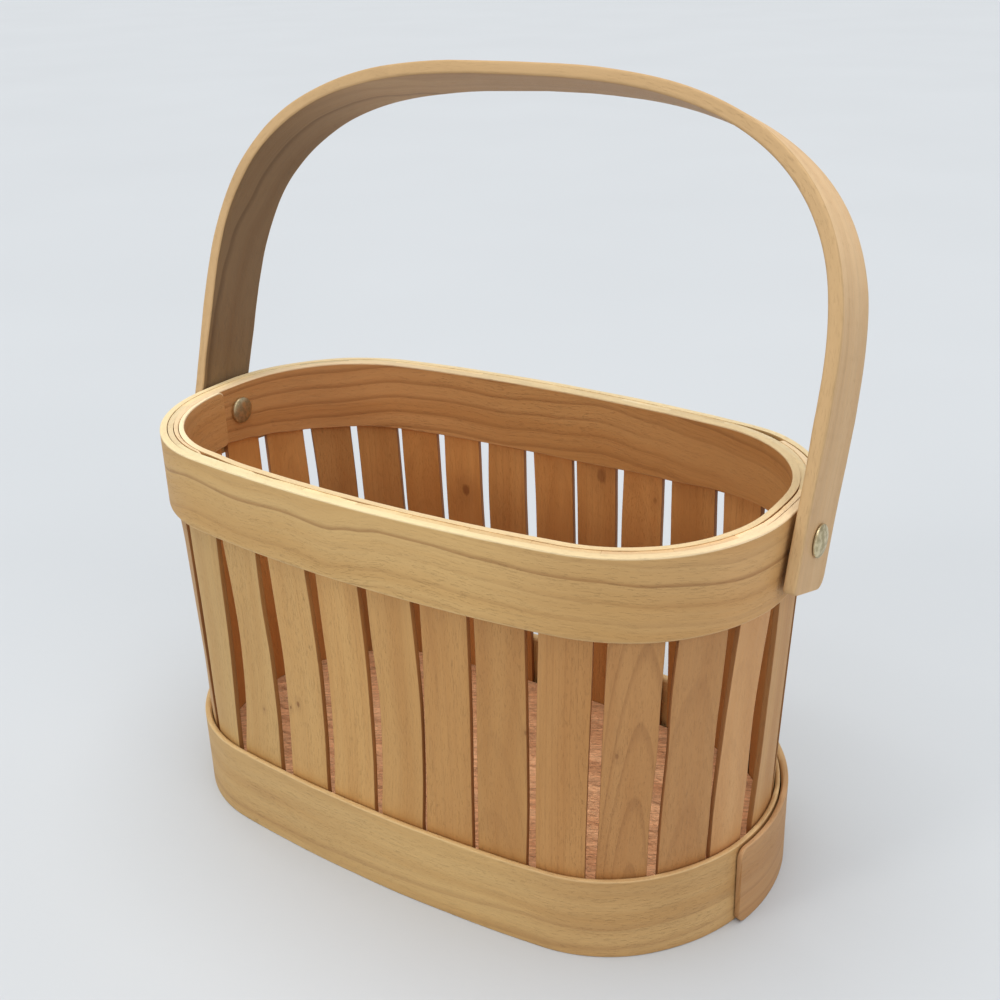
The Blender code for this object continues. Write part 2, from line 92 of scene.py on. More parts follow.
def between(value: float, low: float, high: float) -> float:
    """How far a value lies between two others, from 0 to 1."""
    return min(max((value - low) / (high - low), 0.0), 1.0)


def eased(value: float, low: float, high: float) -> float:
    """How far a value lies between two others, with level ends."""
    return smooth_step(between(value, low, high))


def mixed(share: float, other: float) -> float:
    """1 at share 0 and the other value at share 1."""
    return 1.0 + (other - 1.0) * share


def follow(line: Line, place: float) -> float:
    """The value of a line at a place.

    Args:
        line: places in order, each with its value.
        place: where it is read.

    Returns:
        The value there, with level ends.
    """
    before = line[0]
    for after in line[1:]:
        if place <= after[0]:
            return before[1] + (after[1] - before[1]) * eased(place, before[0], after[0])
        before = after
    return before[1]


def toned(tones: Tones, place: float) -> Colour:
    """The tone at a place of a row of tones.

    Args:
        tones: places in order, each with its tone.
        place: where it is read.

    Returns:
        The tone there, with level ends.
    """
    lines = (tuple((mark, tone[part]) for mark, tone in tones) for part in range(3))
    red, green, blue = (follow(line, place) for line in lines)
    return (red, green, blue)


def bowed(line: Line, place: float) -> float:
    """The value at a place of a smooth curve through a line's places.

    Args:
        line: places in order, each with its value.
        place: where it is read.

    Returns:
        The value there.
    """
    held = min(max(place, line[0][0]), line[-1][0])
    index = next(index for index in range(1, len(line)) if held <= line[index][0])
    before, after = line[index - 1], line[index]
    first, last = line[max(index - 2, 0)], line[min(index + 1, len(line) - 1)]
    span = after[0] - before[0]
    share = (held - before[0]) / span
    leave = (after[1] - first[1]) / (after[0] - first[0]) * span
    arrive = (last[1] - before[1]) / (last[0] - before[0]) * span
    square, cube = share**2, share**3
    return (
        (2 * cube - 3 * square + 1) * before[1]
        + (cube - 2 * square + share) * leave
        + (3 * square - 2 * cube) * after[1]
        + (cube - square) * arrive
    )


def wobble(size: float, pitch: float, *where: float) -> float:
    """A smooth uneven amount.

    Args:
        size: its greatest amount either way.
        pitch: the distance over which it changes.
        where: up to three places.

    Returns:
        The amount there.
    """
    spot = [value / pitch for value in where] + [0.0, 0.0, 0.0]
    return size * noise.noise(Vector(spot[:3]))


def rounding_at(distance: float, radius: float) -> float:
    """How much a rounded end takes off its edge, this far from the end."""
    left = radius - min(max(distance, 0.0), radius)
    return radius - math.sqrt(radius**2 - left**2)


@dataclass(frozen=True)
class LogPlace:
    """Where a piece lay in the log it was cut from, so that its grain runs through it.

    Attributes:
        aside: how far the pith lies to the side of the piece's middle.
        below: how far the pith lies below its face.
        tilt: how steeply the pith comes nearer along the piece.
        start: where along the log the piece begins, which sets its own pattern.
        sway: how far the grain wanders to the side.
        guide: places along and across the piece that one line of its grain follows.
    """

    aside: float
    below: float
    tilt: float
    start: float
    sway: float
    guide: Line = ()

    @classmethod
    def of(cls, cut: Cut, seed: int) -> "LogPlace":
        """A place in some log for a cut.

        Args:
            cut: how the piece was cut.
            seed: which of many such pieces it is.

        Returns:
            The place.
        """
        dice = random.Random(seed)
        start = 0.7 * seed + dice.random()
        if cut is Cut.FLAT:
            aside, below = dice.uniform(-0.006, 0.006), dice.uniform(0.018, 0.030)
            return cls(aside, below, dice.uniform(0.03, 0.09), start, 0.004)
        if cut is Cut.RIFT:
            aside = dice.choice((-1, 1)) * dice.uniform(0.030, 0.050)
            return cls(aside, 0.035, dice.uniform(-0.04, 0.04), start, 0.003)
        aside = dice.choice((-1, 1)) * dice.uniform(0.070, 0.110)
        return cls(aside, 0.010, dice.uniform(-0.02, 0.02), start, 0.002)

    def at(self, across: float, deep: float, along: float) -> Vector:
        """The spot in the log of a point of the piece.

        Args:
            across: its place across the grain, from the piece's middle.
            deep: its height above the piece's face.
            along: its place along the grain.

        Returns:
            Two places across the log from its pith, and one along it.
        """
        drift = 0.0
        for often, change, layer, share in SWAYS:
            spot = Vector((along * often, self.start * change, layer))
            drift += self.sway * share * noise.noise(spot)
        if self.guide:
            drift -= follow(self.guide, along)
        height = deep + self.below + self.tilt * along
        return Vector((across - self.aside + drift, height, along + self.start))


@dataclass(frozen=True)
class Spot:
    """One point of a piece's skin.

    Attributes:
        place: where it is.
        grain: its spot in the log.
        wear_and_light: 1 on a cut or scuffed edge, and on upper edges and slat heads also a painted
            highlight; less than 0 on a slat's side, where it paints shade.
        inside: 1 on a face that looks into the basket; how much painted shade a face takes.
        tone: how the colour differs here from the rest of the piece, in places painted light and
            shade.
        lines: how strongly growth lines show here.
    """

    place: Vector
    grain: Vector
    wear_and_light: float = 0.0
    inside: float = 0.0
    tone: Colour = PLAIN
    lines: float = 1.0


def skin(
    name: str, rings: list[list[Spot]], tint: Colour = PLAIN, lines: float = 1.0
) -> bpy.types.Object:
    """A closed piece through matching rings of spots.

    Args:
        name: the piece's name.
        rings: rings in order, each with the same number of spots.
        tint: colour by which this piece differs from others of its wood.
        lines: how strongly its growth lines show.

    Returns:
        The object, carrying as attributes its grain, its wear with painted highlight and shade, its
        painted inside shade, and its tint with painted light and shade in places.
    """
    count = len(rings[0])
    spots = [spot for ring in rings for spot in ring]
    faces = []
    for low in range(0, len(spots) - count, count):
        high = low + count
        for step in range(count):
            after = (step + 1) % count
            faces.append((low + step, low + after, high + after, high + step))
    faces.append(tuple(reversed(range(count))))
    faces.append(tuple(range(len(spots) - count, len(spots))))
    mesh = bpy.data.meshes.new(name)
    mesh.from_pydata([spot.place for spot in spots], [], faces)
    colours = ((own * whole for own, whole in zip(spot.tone, tint)) for spot in spots)
    tones = [(*colour, lines * spot.lines) for colour, spot in zip(colours, spots)]
    for label, kind, field, rows in (
        ("grain", "FLOAT_VECTOR", "vector", [spot.grain for spot in spots]),
        ("wear_and_light", "FLOAT", "value", [(spot.wear_and_light,) for spot in spots]),
        ("inside", "FLOAT", "value", [(spot.inside,) for spot in spots]),
        ("tint", "FLOAT_COLOR", "color", tones),
    ):
        carried = mesh.attributes.new(label, kind, "POINT")
        carried.data.foreach_set(field, [value for row in rows for value in row])
    mesh.update()
    volume = sum(face.center.dot(face.normal) * face.area for face in mesh.polygons)
    if volume < 0:
        mesh.flip_normals()
    mesh.shade_smooth()
    mesh.set_sharp_from_angle(angle=math.radians(SHARP_DEGREES))
    obj = bpy.data.objects.new(name, mesh)
    bpy.context.scene.collection.objects.link(obj)
    return obj


def place_in_frame(
    obj: bpy.types.Object, node: str, body: str, finish: Finish
) -> None:
    """Gives a piece its finish and lets it stand for its solid.

    Args:
        obj: the piece.
        node: the solid that it replaces.
        body: the moving body that it rides on.
        finish: its material.
    """
    obj.data.materials.append(finish)
    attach(obj, body)
    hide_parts(node)


@dataclass(frozen=True)
class Arc:
    """One arc of an outline, run anticlockwise seen from above."""

    centre: Vector
    radius: float
    start: float
    turn: float

    @property
    def length(self) -> float:
        """Length along the arc."""
        return self.radius * self.turn


@dataclass(frozen=True)
class Oval:
    """An oval of eight arcs: two sides, two ends and four tighter corners between them."""

    half_length: float
    half_width: float
    corner_radius: float
    side_radius: float
    end_radius: float

    def inset(self, depth: float) -> "Oval":
        """The parallel oval this far inside."""
        return Oval(*(size - depth for size in astuple(self)))

    def quarter(self) -> tuple[Arc, Arc, Arc]:
        """End, corner and side arcs of the quarter at +X and +Y."""
        end_centre = Vector((self.half_length - self.end_radius, 0.0))
        side_centre = Vector((0.0, self.half_width - self.side_radius))
        from_side = self.side_radius - self.corner_radius
        from_end = self.end_radius - self.corner_radius
        link = end_centre - side_centre
        apart = link.length
        along = (from_side**2 - from_end**2 + apart**2) / (2 * apart)
        across = math.sqrt(from_side**2 - along**2)
        direction = link / apart
        beside = Vector((direction.y, -direction.x))
        corner = side_centre + direction * along + beside * across
        end_turn = math.atan2(corner.y - end_centre.y, corner.x - end_centre.x)
        side_start = math.atan2(corner.y - side_centre.y, corner.x - side_centre.x)
        return (
            Arc(end_centre, self.end_radius, 0.0, end_turn),
            Arc(corner, self.corner_radius, end_turn, side_start - end_turn),
            Arc(side_centre, self.side_radius, side_start, math.pi / 2 - side_start),
        )

    def arcs(self) -> list[Arc]:
        """All arcs in order, anticlockwise from the middle of the +X end."""
        quarter = self.quarter()
        found = list(quarter)
        for long, wide, turned in ((-1, 1, math.pi), (-1, -1, math.pi), (1, -1, math.tau)):
            mirrored = long * wide < 0
            for arc in reversed(quarter) if mirrored else quarter:
                centre = Vector((long * arc.centre.x, wide * arc.centre.y))
                start = turned - arc.start - arc.turn if mirrored else turned + arc.start
                found.append(Arc(centre, arc.radius, start, arc.turn))
        return found

    @property
    def length(self) -> float:
        """Length once round."""
        return sum(arc.length for arc in self.arcs())

    def at(self, share: float) -> tuple[Vector, Vector]:
        """Point and outward direction at a share of the way round, in plan."""
        arcs = self.arcs()
        left = (share % 1.0) * sum(arc.length for arc in arcs)
        for arc in arcs:
            if left <= arc.length:
                break
            left -= arc.length
        angle = arc.start + min(left / arc.radius, arc.turn)
        outward = Vector((math.cos(angle), math.sin(angle)))
        return arc.centre + outward * arc.radius, outward


@dataclass(frozen=True)
class Section:
    """The cross-section of a strip: a rectangle with rounded edges.

    Attributes:
        eases: radii of its edges: the outward face's lower and upper, then the inward face's
            upper and lower.
        hold: how near to its rounded edges each face is flat again.
    """

    thickness: float
    width: float
    eases: tuple[float, float, float, float]
    rows: int = 10
    turns: int = 3
    hold: float = 0.0004

    def points(
        self, low_taken: float = 0.0, high_taken: float = 0.0
    ) -> list[tuple[float, float, float]]:
        """Its outline, anticlockwise.

        Args:
            low_taken: width that a rounded end takes off the lower edge.
            high_taken: width that it takes off the upper edge.

        Returns:
            Depth from 0 to the thickness, place across the strip from its middle, and wear with a
            painted highlight from 0 to 1.
        """
        low, high = low_taken - self.width / 2, self.width / 2 - high_taken
        first, second, third, fourth = self.eases
        corners = (
            (self.thickness - first, low + first, first, -90.0),
            (self.thickness - second, high - second, second, 0.0),
            (third, high - third, third, 90.0),
            (fourth, low + fourth, fourth, 180.0),
        )
        found: list[tuple[float, float, float]] = []
        for index, (deep, across, ease, turn) in enumerate(corners):
            for step in range(self.turns + 1):
                angle = math.radians(turn + 90.0 * step / self.turns)
                found.append((deep + ease * math.cos(angle), across + ease * math.sin(angle), 1.0))
            after = corners[(index + 1) % 4]
            if index % 2 == 0:
                span = after[1] - across
                held = math.copysign(min(self.hold, abs(span) / 4), span)
                for row in range(self.rows + 1):
                    side = across + held + (span - 2 * held) * row / self.rows
                    found.append((found[-1][0], side, 0.0))
            else:
                side = found[-1][1]
                found += [(deep + (after[0] - deep) * share, side, 1.0) for share in SIDE_SHARES]
        return found


@dataclass
class BentBand:
    """A strip bent once round an oval, whose first stretch stands off and laps over its end.

    Attributes:
        face: oval that its outward face follows, or its inward face with inside set.
        inside: whether the strip lies inside its face oval.
        start: share at which its first, outstanding end lies.
        laps: length of the lap, and length in which the strip comes back to its face after it.
        thinned: shares of its thickness left at its first end and at its covered end.
        tones: how its colour changes, at shares of the way round.
        line: a growth line that its log is laid by, at shares of the way round.
        lift: how far its lower edge rises, at shares of the way round.
        other_lines: how strongly those away from the line show beside it.
        first_lines: how strongly they show on its first, outstanding end.
        guided: how far above the line they are strongest, and between what distances they fade.
        waver: how uneven its free edges and face are.
        pitches: distances over which its face and its edges change.
        low_wear_and_light: how much its lower edges are scuffed beside its upper ones, whose wear
            is also a painted highlight.
    """

    node: str
    slot: str
    face: Oval
    inside: bool
    section: Section
    bottom: float
    start: float
    laps: tuple[float, float]
    rounding: float
    log: LogPlace
    thinned: tuple[float, float]
    tones: Tones
    line: Line = ()
    tint: Colour = (1.02, 1.02, 1.02)
    lift: Line = ((0.0, 0.0),)
    lines: float = 1.0
    other_lines: float = 1.0
    first_lines: float = 1.0
    guided: tuple[float, float, float] = (0.001, 0.0015, 0.0055)
    gap: float = 0.0003
    step: float = 0.003
    end_steps: int = 6
    waver: float = 0.0003
    pitches: tuple[float, float] = (0.045, 0.03)
    low_wear_and_light: float = 0.15

    def __post_init__(self) -> None:
        """Turns its lengths into shares and its line's shares into places along it."""
        self.whole = self.face.length
        self.lap, self.run_out = (length / self.whole for length in self.laps)
        self.end = self.start + self.lap + 1.0
        guide = tuple(((share - self.start) * self.whole, across) for share, across in self.line)
        self.log = replace(self.log, guide=guide)

    def kept(self, share: float) -> float:
        """How much of its thickness the strip keeps at a share."""
        first = between(share, self.start, self.start + self.lap)
        last = between(share, self.end - self.lap, self.end)
        at_first = self.thinned[0] + (1.0 - self.thinned[0]) * first
        return at_first * (1.0 - (1.0 - self.thinned[1]) * last)

    def depth(self, share: float) -> float:
        """Where the strip's inward face lies, outwards from its face oval, at a share."""
        left = (self.start + self.lap + self.run_out - share) / self.run_out
        step = (self.section.thickness * self.kept(share + 1.0) + self.gap) * smooth_step(left)
        return -self.section.thickness * self.kept(share) - step if self.inside else step

    def shares(self) -> list[float]:
        """Shares at which the strip has a cross-section."""
        whole, count = self.whole, self.end_steps
        turns = [1.0 - math.cos(math.pi / 2 * step / count) for step in range(count)]
        ends = [self.rounding * turn / whole for turn in turns]
        first, last = self.start + self.rounding / whole, self.end - self.rounding / whole
        steps = math.ceil((last - first) * whole / self.step)
        found = [self.start + end for end in ends]
        found += [first + (last - first) * step / steps for step in range(steps + 1)]
        return found + [self.end - end for end in reversed(ends)]

    def ring(self, share: float) -> list[Spot]:
        """The strip's cross-section at a share of the way round."""
        near = min(share - self.start, self.end - share) * self.whole
        along = (share - self.start) * self.whole
        point, outward = self.face.at(share)
        low = self.depth(share)
        middle = self.bottom + self.section.width / 2
        seed = self.log.start
        kept, lift = self.kept(share), follow(self.lift, share)
        taken = rounding_at(near, self.rounding)
        lap_end = self.start + self.lap
        first = 1.0 - eased(share, self.start + self.lap * 0.5, lap_end + self.run_out)
        tone = toned(self.tones, share)
        guide = follow(self.log.guide, along) if self.log.guide else 0.0
        above, near_line, off_line = self.guided
        face_pitch, edge_pitch = self.pitches
        found = []
        for deep, across, wear_and_light in self.section.points(taken, taken):
            far = eased(abs(across - guide - above), near_line, off_line)
            drawn = mixed(far, self.other_lines) * mixed(first, self.first_lines)
            free = deep / self.section.thickness
            free = 1.0 - free if self.inside else free
            uneven = abs(wobble(self.waver, face_pitch, along, across * 0.5, seed)) * free
            shift = -uneven if self.inside else uneven - self.waver
            rim = across / (self.section.width / 2)
            ragged = abs(wobble(self.waver, edge_pitch, along, seed + rim, free * 0.02))
            height = across - rim**3 * ragged
            height += lift * (0.5 - rim / 2)
            place = point + outward * (low + deep * kept + shift * free)
            # Upper edges keep their full wear with its painted highlight; lower edges keep a little
            # of it
            wear_and_light *= 1.0 if rim > 0.0 else self.low_wear_and_light
            grain = self.log.at(across, deep, along)
            # The inner band takes painted inside shade except on its edges
            inner = float(self.inside) * (1.0 - wear_and_light)
            spot = Vector((*place, middle + height))
            found.append(Spot(spot, grain, wear_and_light, inner, tone, drawn))
        return found

    def build(self, finish: Finish) -> None:
        """Makes and dresses the strip."""
        rings = [self.ring(share) for share in self.shares()]
        obj = skin(f"{self.node}_wood", rings, self.tint, self.lines)
        place_in_frame(obj, self.node, "basket", finish)
        LOG.info("band %s", obj.name)


@dataclass(frozen=True)
class Shell:
    """Sizes that the basket's pieces share.

    Attributes:
        rim_half: half the rim's length and width, over the outer band.
        base_half: half the foot's length and width, over the base band.
        rim_shares: the rim's corner, side and end radii as parts of half its length or width.
        base_shares: those of the foot.
    """

    height: float
    rim_height: float
    base_height: float
    outer: float = 0.0032
    inner: float = 0.0029
    base: float = 0.0032
    slat: float = 0.0023
    gap: float = 0.0003
    rim_half: tuple[float, float] = (0.1415, 0.0775)
    base_half: tuple[float, float] = (0.1375, 0.0785)
    rim_shares: tuple[float, float, float] = (0.852, 4.6, 2.84)
    base_shares: tuple[float, float, float] = (0.79, 5.0, 1.02)

    @classmethod
    def measured(cls) -> "Shell":
        """The heights as the solids have them."""
        rim_low, rim_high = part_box("rim_outer_band")
        base_low, base_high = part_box("base_band")
        return cls(rim_high[2], rim_high[2] - rim_low[2], base_high[2] - base_low[2])

    @staticmethod
    def oval(half: tuple[float, float], shares: tuple[float, float, float]) -> Oval:
        """An oval from its half sizes and the parts of them that set its radii."""
        long, wide = half
        corner, side, end = shares
        return Oval(long, wide, wide * corner, long * side, wide * end)

    @property
    def rim(self) -> Oval:
        """Outer face of the outer rim band."""
        return self.oval(self.rim_half, self.rim_shares)

    @property
    def foot(self) -> Oval:
        """Outer face of the base band."""
        return self.oval(self.base_half, self.base_shares)

    @property
    def rim_bottom(self) -> float:
        """Height of the rim bands' lower edges."""
        return self.height - self.rim_height

    @property
    def slat_rim(self) -> Oval:
        """Outer face of the slats at the rim."""
        return self.rim.inset(self.outer + self.gap)

    @property
    def slat_foot(self) -> Oval:
        """Outer face of the slats at the base."""
        return self.foot.inset(self.base + self.gap)

    @property
    def inner_face(self) -> Oval:
        """Outer face of the inner rim band."""
        return self.slat_rim.inset(self.slat + self.gap)

    @property
    def board(self) -> Oval:
        """Edge of the base board."""
        return self.slat_foot.inset(self.slat + self.gap)


@dataclass
class Bands:
    """The two bent bands that hold the slats' tops between them, and the one round their feet.

    Attributes:
        set_back: how far behind the middle the rivets lie.
        free_edge: radius of the rim bands' edges that show.
        held_edge: radius of their edges against the slats.
        base_eases: radii of the base band's edges.
    """

    shell: Shell
    set_back: float
    free_edge: float = 0.0005
    held_edge: float = 0.0001
    base_eases: tuple[float, float, float, float] = (0.0004, 0.0004, 0.0021, 0.0002)

    def rim(self, thickness: float, inside: bool, **rest: object) -> BentBand:
        """One of the two rim bands, with what they share.

        Args:
            thickness: its thickness.
            inside: whether it is the one inside the slats.
            rest: what is its own.

        Returns:
            The band.
        """
        eases = (self.free_edge,) * 2 + (self.held_edge,) * 2
        section = Section(thickness, self.shell.rim_height, eases[::-1] if inside else eases)
        bottom = self.shell.rim_bottom
        return BentBand(slot="band_wood", inside=inside, section=section, bottom=bottom, **rest)

    def outer(self) -> BentBand:
        """The band outside the slats, lapped behind the right rivet."""
        face = self.shell.rim.inset(self.shell.outer)
        return self.rim(
            self.shell.outer, False, node="rim_outer_band", face=face,
            start=(self.set_back + 0.026) / face.length, laps=(0.040, 0.028), rounding=0.004,
            log=LogPlace(0.0826, 0.004, 0.0, 3.37, 0.0008), thinned=(0.55, 0.60),
            lines=1.7, other_lines=0.34,
            tones=(
                (0.50, (1.03, 1.02, 1.00)), (0.70, (1.04, 1.06, 1.05)), (0.81, (1.05, 1.06, 1.04)),
                (0.89, (0.94, 0.91, 0.88)), (0.925, (0.96, 0.92, 0.92)),
                (0.955, (1.06, 1.00, 1.03)),
            ),
            line=(
                (0.560, -0.0050), (0.590, 0.0010), (0.630, 0.0058), (0.667, 0.0040),
                (0.704, 0.0054), (0.734, 0.0036), (0.753, 0.0060), (0.770, 0.0080),
                (0.795, 0.0078), (0.827, 0.0066), (0.858, 0.0056), (0.886, 0.0058),
                (0.913, 0.0040), (0.960, 0.0010),
            ),
        )

    def inner(self) -> BentBand:
        """The band inside the slats, whose end stands proud past the left rivet."""
        face = self.shell.inner_face
        return self.rim(
            self.shell.inner, True, node="rim_inner_band", face=face,
            start=0.5 + (0.011 - self.set_back) / face.length, laps=(0.085, 0.026), rounding=0.003,
            log=LogPlace(0.0826, 0.004, 0.0, 8.81, 0.0012), thinned=(0.30, 0.35),
            tint=(0.97, 0.93, 0.90), lines=1.3, first_lines=0.3,
            tones=(
                # The first tone is painted light on the proud lap past the left rivet
                (0.59, (1.22, 1.30, 1.46)), (0.65, PLAIN), (1.10, (0.97, 0.95, 0.91)),
                (1.25, (1.01, 1.01, 0.99)), (1.42, (1.08, 1.07, 1.14)),
            ),
            line=(
                (1.113, -0.0048), (1.143, -0.0022), (1.179, 0.0012), (1.216, 0.0044),
                (1.254, 0.0022), (1.293, 0.0002), (1.333, 0.0014), (1.364, 0.0008),
                (1.420, -0.0030),
            ),
            lift=(
                (0.508, 0.0064), (0.540, 0.0060), (0.580, 0.0010), (0.620, 0.0), (0.900, 0.0),
                (0.960, 0.0030), (1.000, 0.0042), (1.050, 0.0044), (1.090, 0.0041),
                (1.130, 0.0030), (1.170, 0.0016), (1.240, 0.0), (1.420, 0.0), (1.446, 0.0010),
                (1.474, 0.0031), (1.492, 0.0051), (1.508, 0.0064), (1.540, 0.0060),
                (1.580, 0.0010), (1.620, 0.0),
            ),
        )

    def base(self) -> BentBand:
        """The band round the slats' feet, lapped at the right end."""
        shell = self.shell
        return BentBand(
            node="base_band", slot="base_band_wood", inside=False, bottom=0.0,
            face=shell.foot.inset(shell.base),
            section=Section(shell.base, shell.base_height, self.base_eases),
            start=0.970, laps=(0.078, 0.026), rounding=0.0035,
            log=LogPlace(0.008, 0.034, 0.014, 5.13, 0.005), thinned=(0.85, 0.50),
            tones=(
                (1.03, (0.90, 0.78, 0.81)), (1.09, PLAIN), (1.70, (1.02, 1.03, 1.03)),
                (1.81, (1.03, 1.03, 1.00)), (1.89, (0.94, 0.90, 0.88)),
                (1.925, (0.96, 0.92, 0.91)), (1.955, (1.06, 1.03, 1.05)),
            ),
        )

    def build(self, rim_finish: Finish, base_finish: Finish) -> None:
        """Makes and dresses the bands."""
        self.outer().build(rim_finish)
        self.inner().build(rim_finish)
        self.base().build(base_finish)


# Heights at which the openings between slats are given, from the rim down
OPENING_MARKS = (0.137, 0.112, 0.090, 0.060, 0.037)


@dataclass(frozen=True)
class Opening:
    """One uneven opening between two slats, at heights from the foot up.

    Attributes:
        shift: how far its middle lies from an even lay, as shares of the way round.
        width: its widths.
    """

    shift: Line
    width: Line

    @classmethod
    def of(cls, shifts: tuple[int, ...], widths: tuple[int, ...]) -> "Opening":
        """An opening from rows of ten-thousandths, given from the rim down."""
        rows = ([count / 10000 for count in row] for row in (shifts, widths))
        return cls(*(tuple(zip(OPENING_MARKS, row))[::-1] for row in rows))


# In front from the left end to the right, then from there round the back
OPENINGS = tuple(Opening.of(*rows) for rows in (
    ((-4, -4, -4, -4, -4), (42, 42, 42, 42, 42)),
    ((-12, 3, 8, -9, -39), (38, 65, 77, 75, 49)),
    ((-11, 2, 22, 22, 8), (68, 83, 83, 73, 70)),
    ((10, 32, 48, 42, 23), (57, 50, 52, 48, 40)),
    ((26, 47, 63, 56, 36), (42, 38, 50, 44, 37)),
    ((28, 42, 46, 38, 23), (42, 27, 15, 17, 21)),
    ((22, 28, 27, 23, 20), (29, 30, 26, 26, 26)),
    ((28, 28, 28, 29, 28), (51, 43, 36, 34, 40)),
    ((42, 37, 32, 28, 23), (48, 45, 46, 46, 40)),
    ((46, 34, 33, 16, 15), (47, 38, 40, 44, 43)),
    ((45, 28, 13, 8, 9), (57, 43, 36, 17, 20)),
    ((45, 20, -3, -14, -28), (71, 105, 115, 100, 82)),
    ((20, 20, 20, 20, 20), (41, 41, 41, 41, 41)),
    ((20, 20, 20, 20, 20), (41, 43, 44, 43, 41)),
    ((34, 20, 10, 0, 0), (50, 50, 50, 46, 42)),
    ((29, 19, 14, 10, 7), (43, 45, 46, 42, 40)),
    ((35, 35, 34, 24, 17), (46, 51, 52, 46, 43)),
    ((21, 27, 28, 19, 14), (42, 34, 33, 35, 35)),
    ((8, 6, 5, 4, 3), (23, 23, 22, 28, 31)),
    ((10, 10, 10, 7, 5), (51, 58, 58, 50, 45)),
    ((23, 33, 33, 23, 17), (53, 42, 41, 40, 38)),
    ((28, 32, 32, 22, 16), (41, 36, 34, 35, 36)),
    ((28, 28, 27, 4, -45), (26, 24, 23, 29, 31)),
    ((36, 33, 31, 22, 15), (33, 31, 30, 33, 34)),
    ((32, 25, 28, 19, 14), (42, 47, 48, 44, 41)),
    ((34, 39, 42, 30, 20), (47, 47, 47, 43, 41)),
    ((30, 30, 30, 24, 18), (41, 41, 41, 41, 41)),
    ((15, 15, 15, 12, 10), (41, 41, 41, 41, 41)),
    ((0, 0, 0, 0, 0), (41, 41, 41, 41, 41)),
))


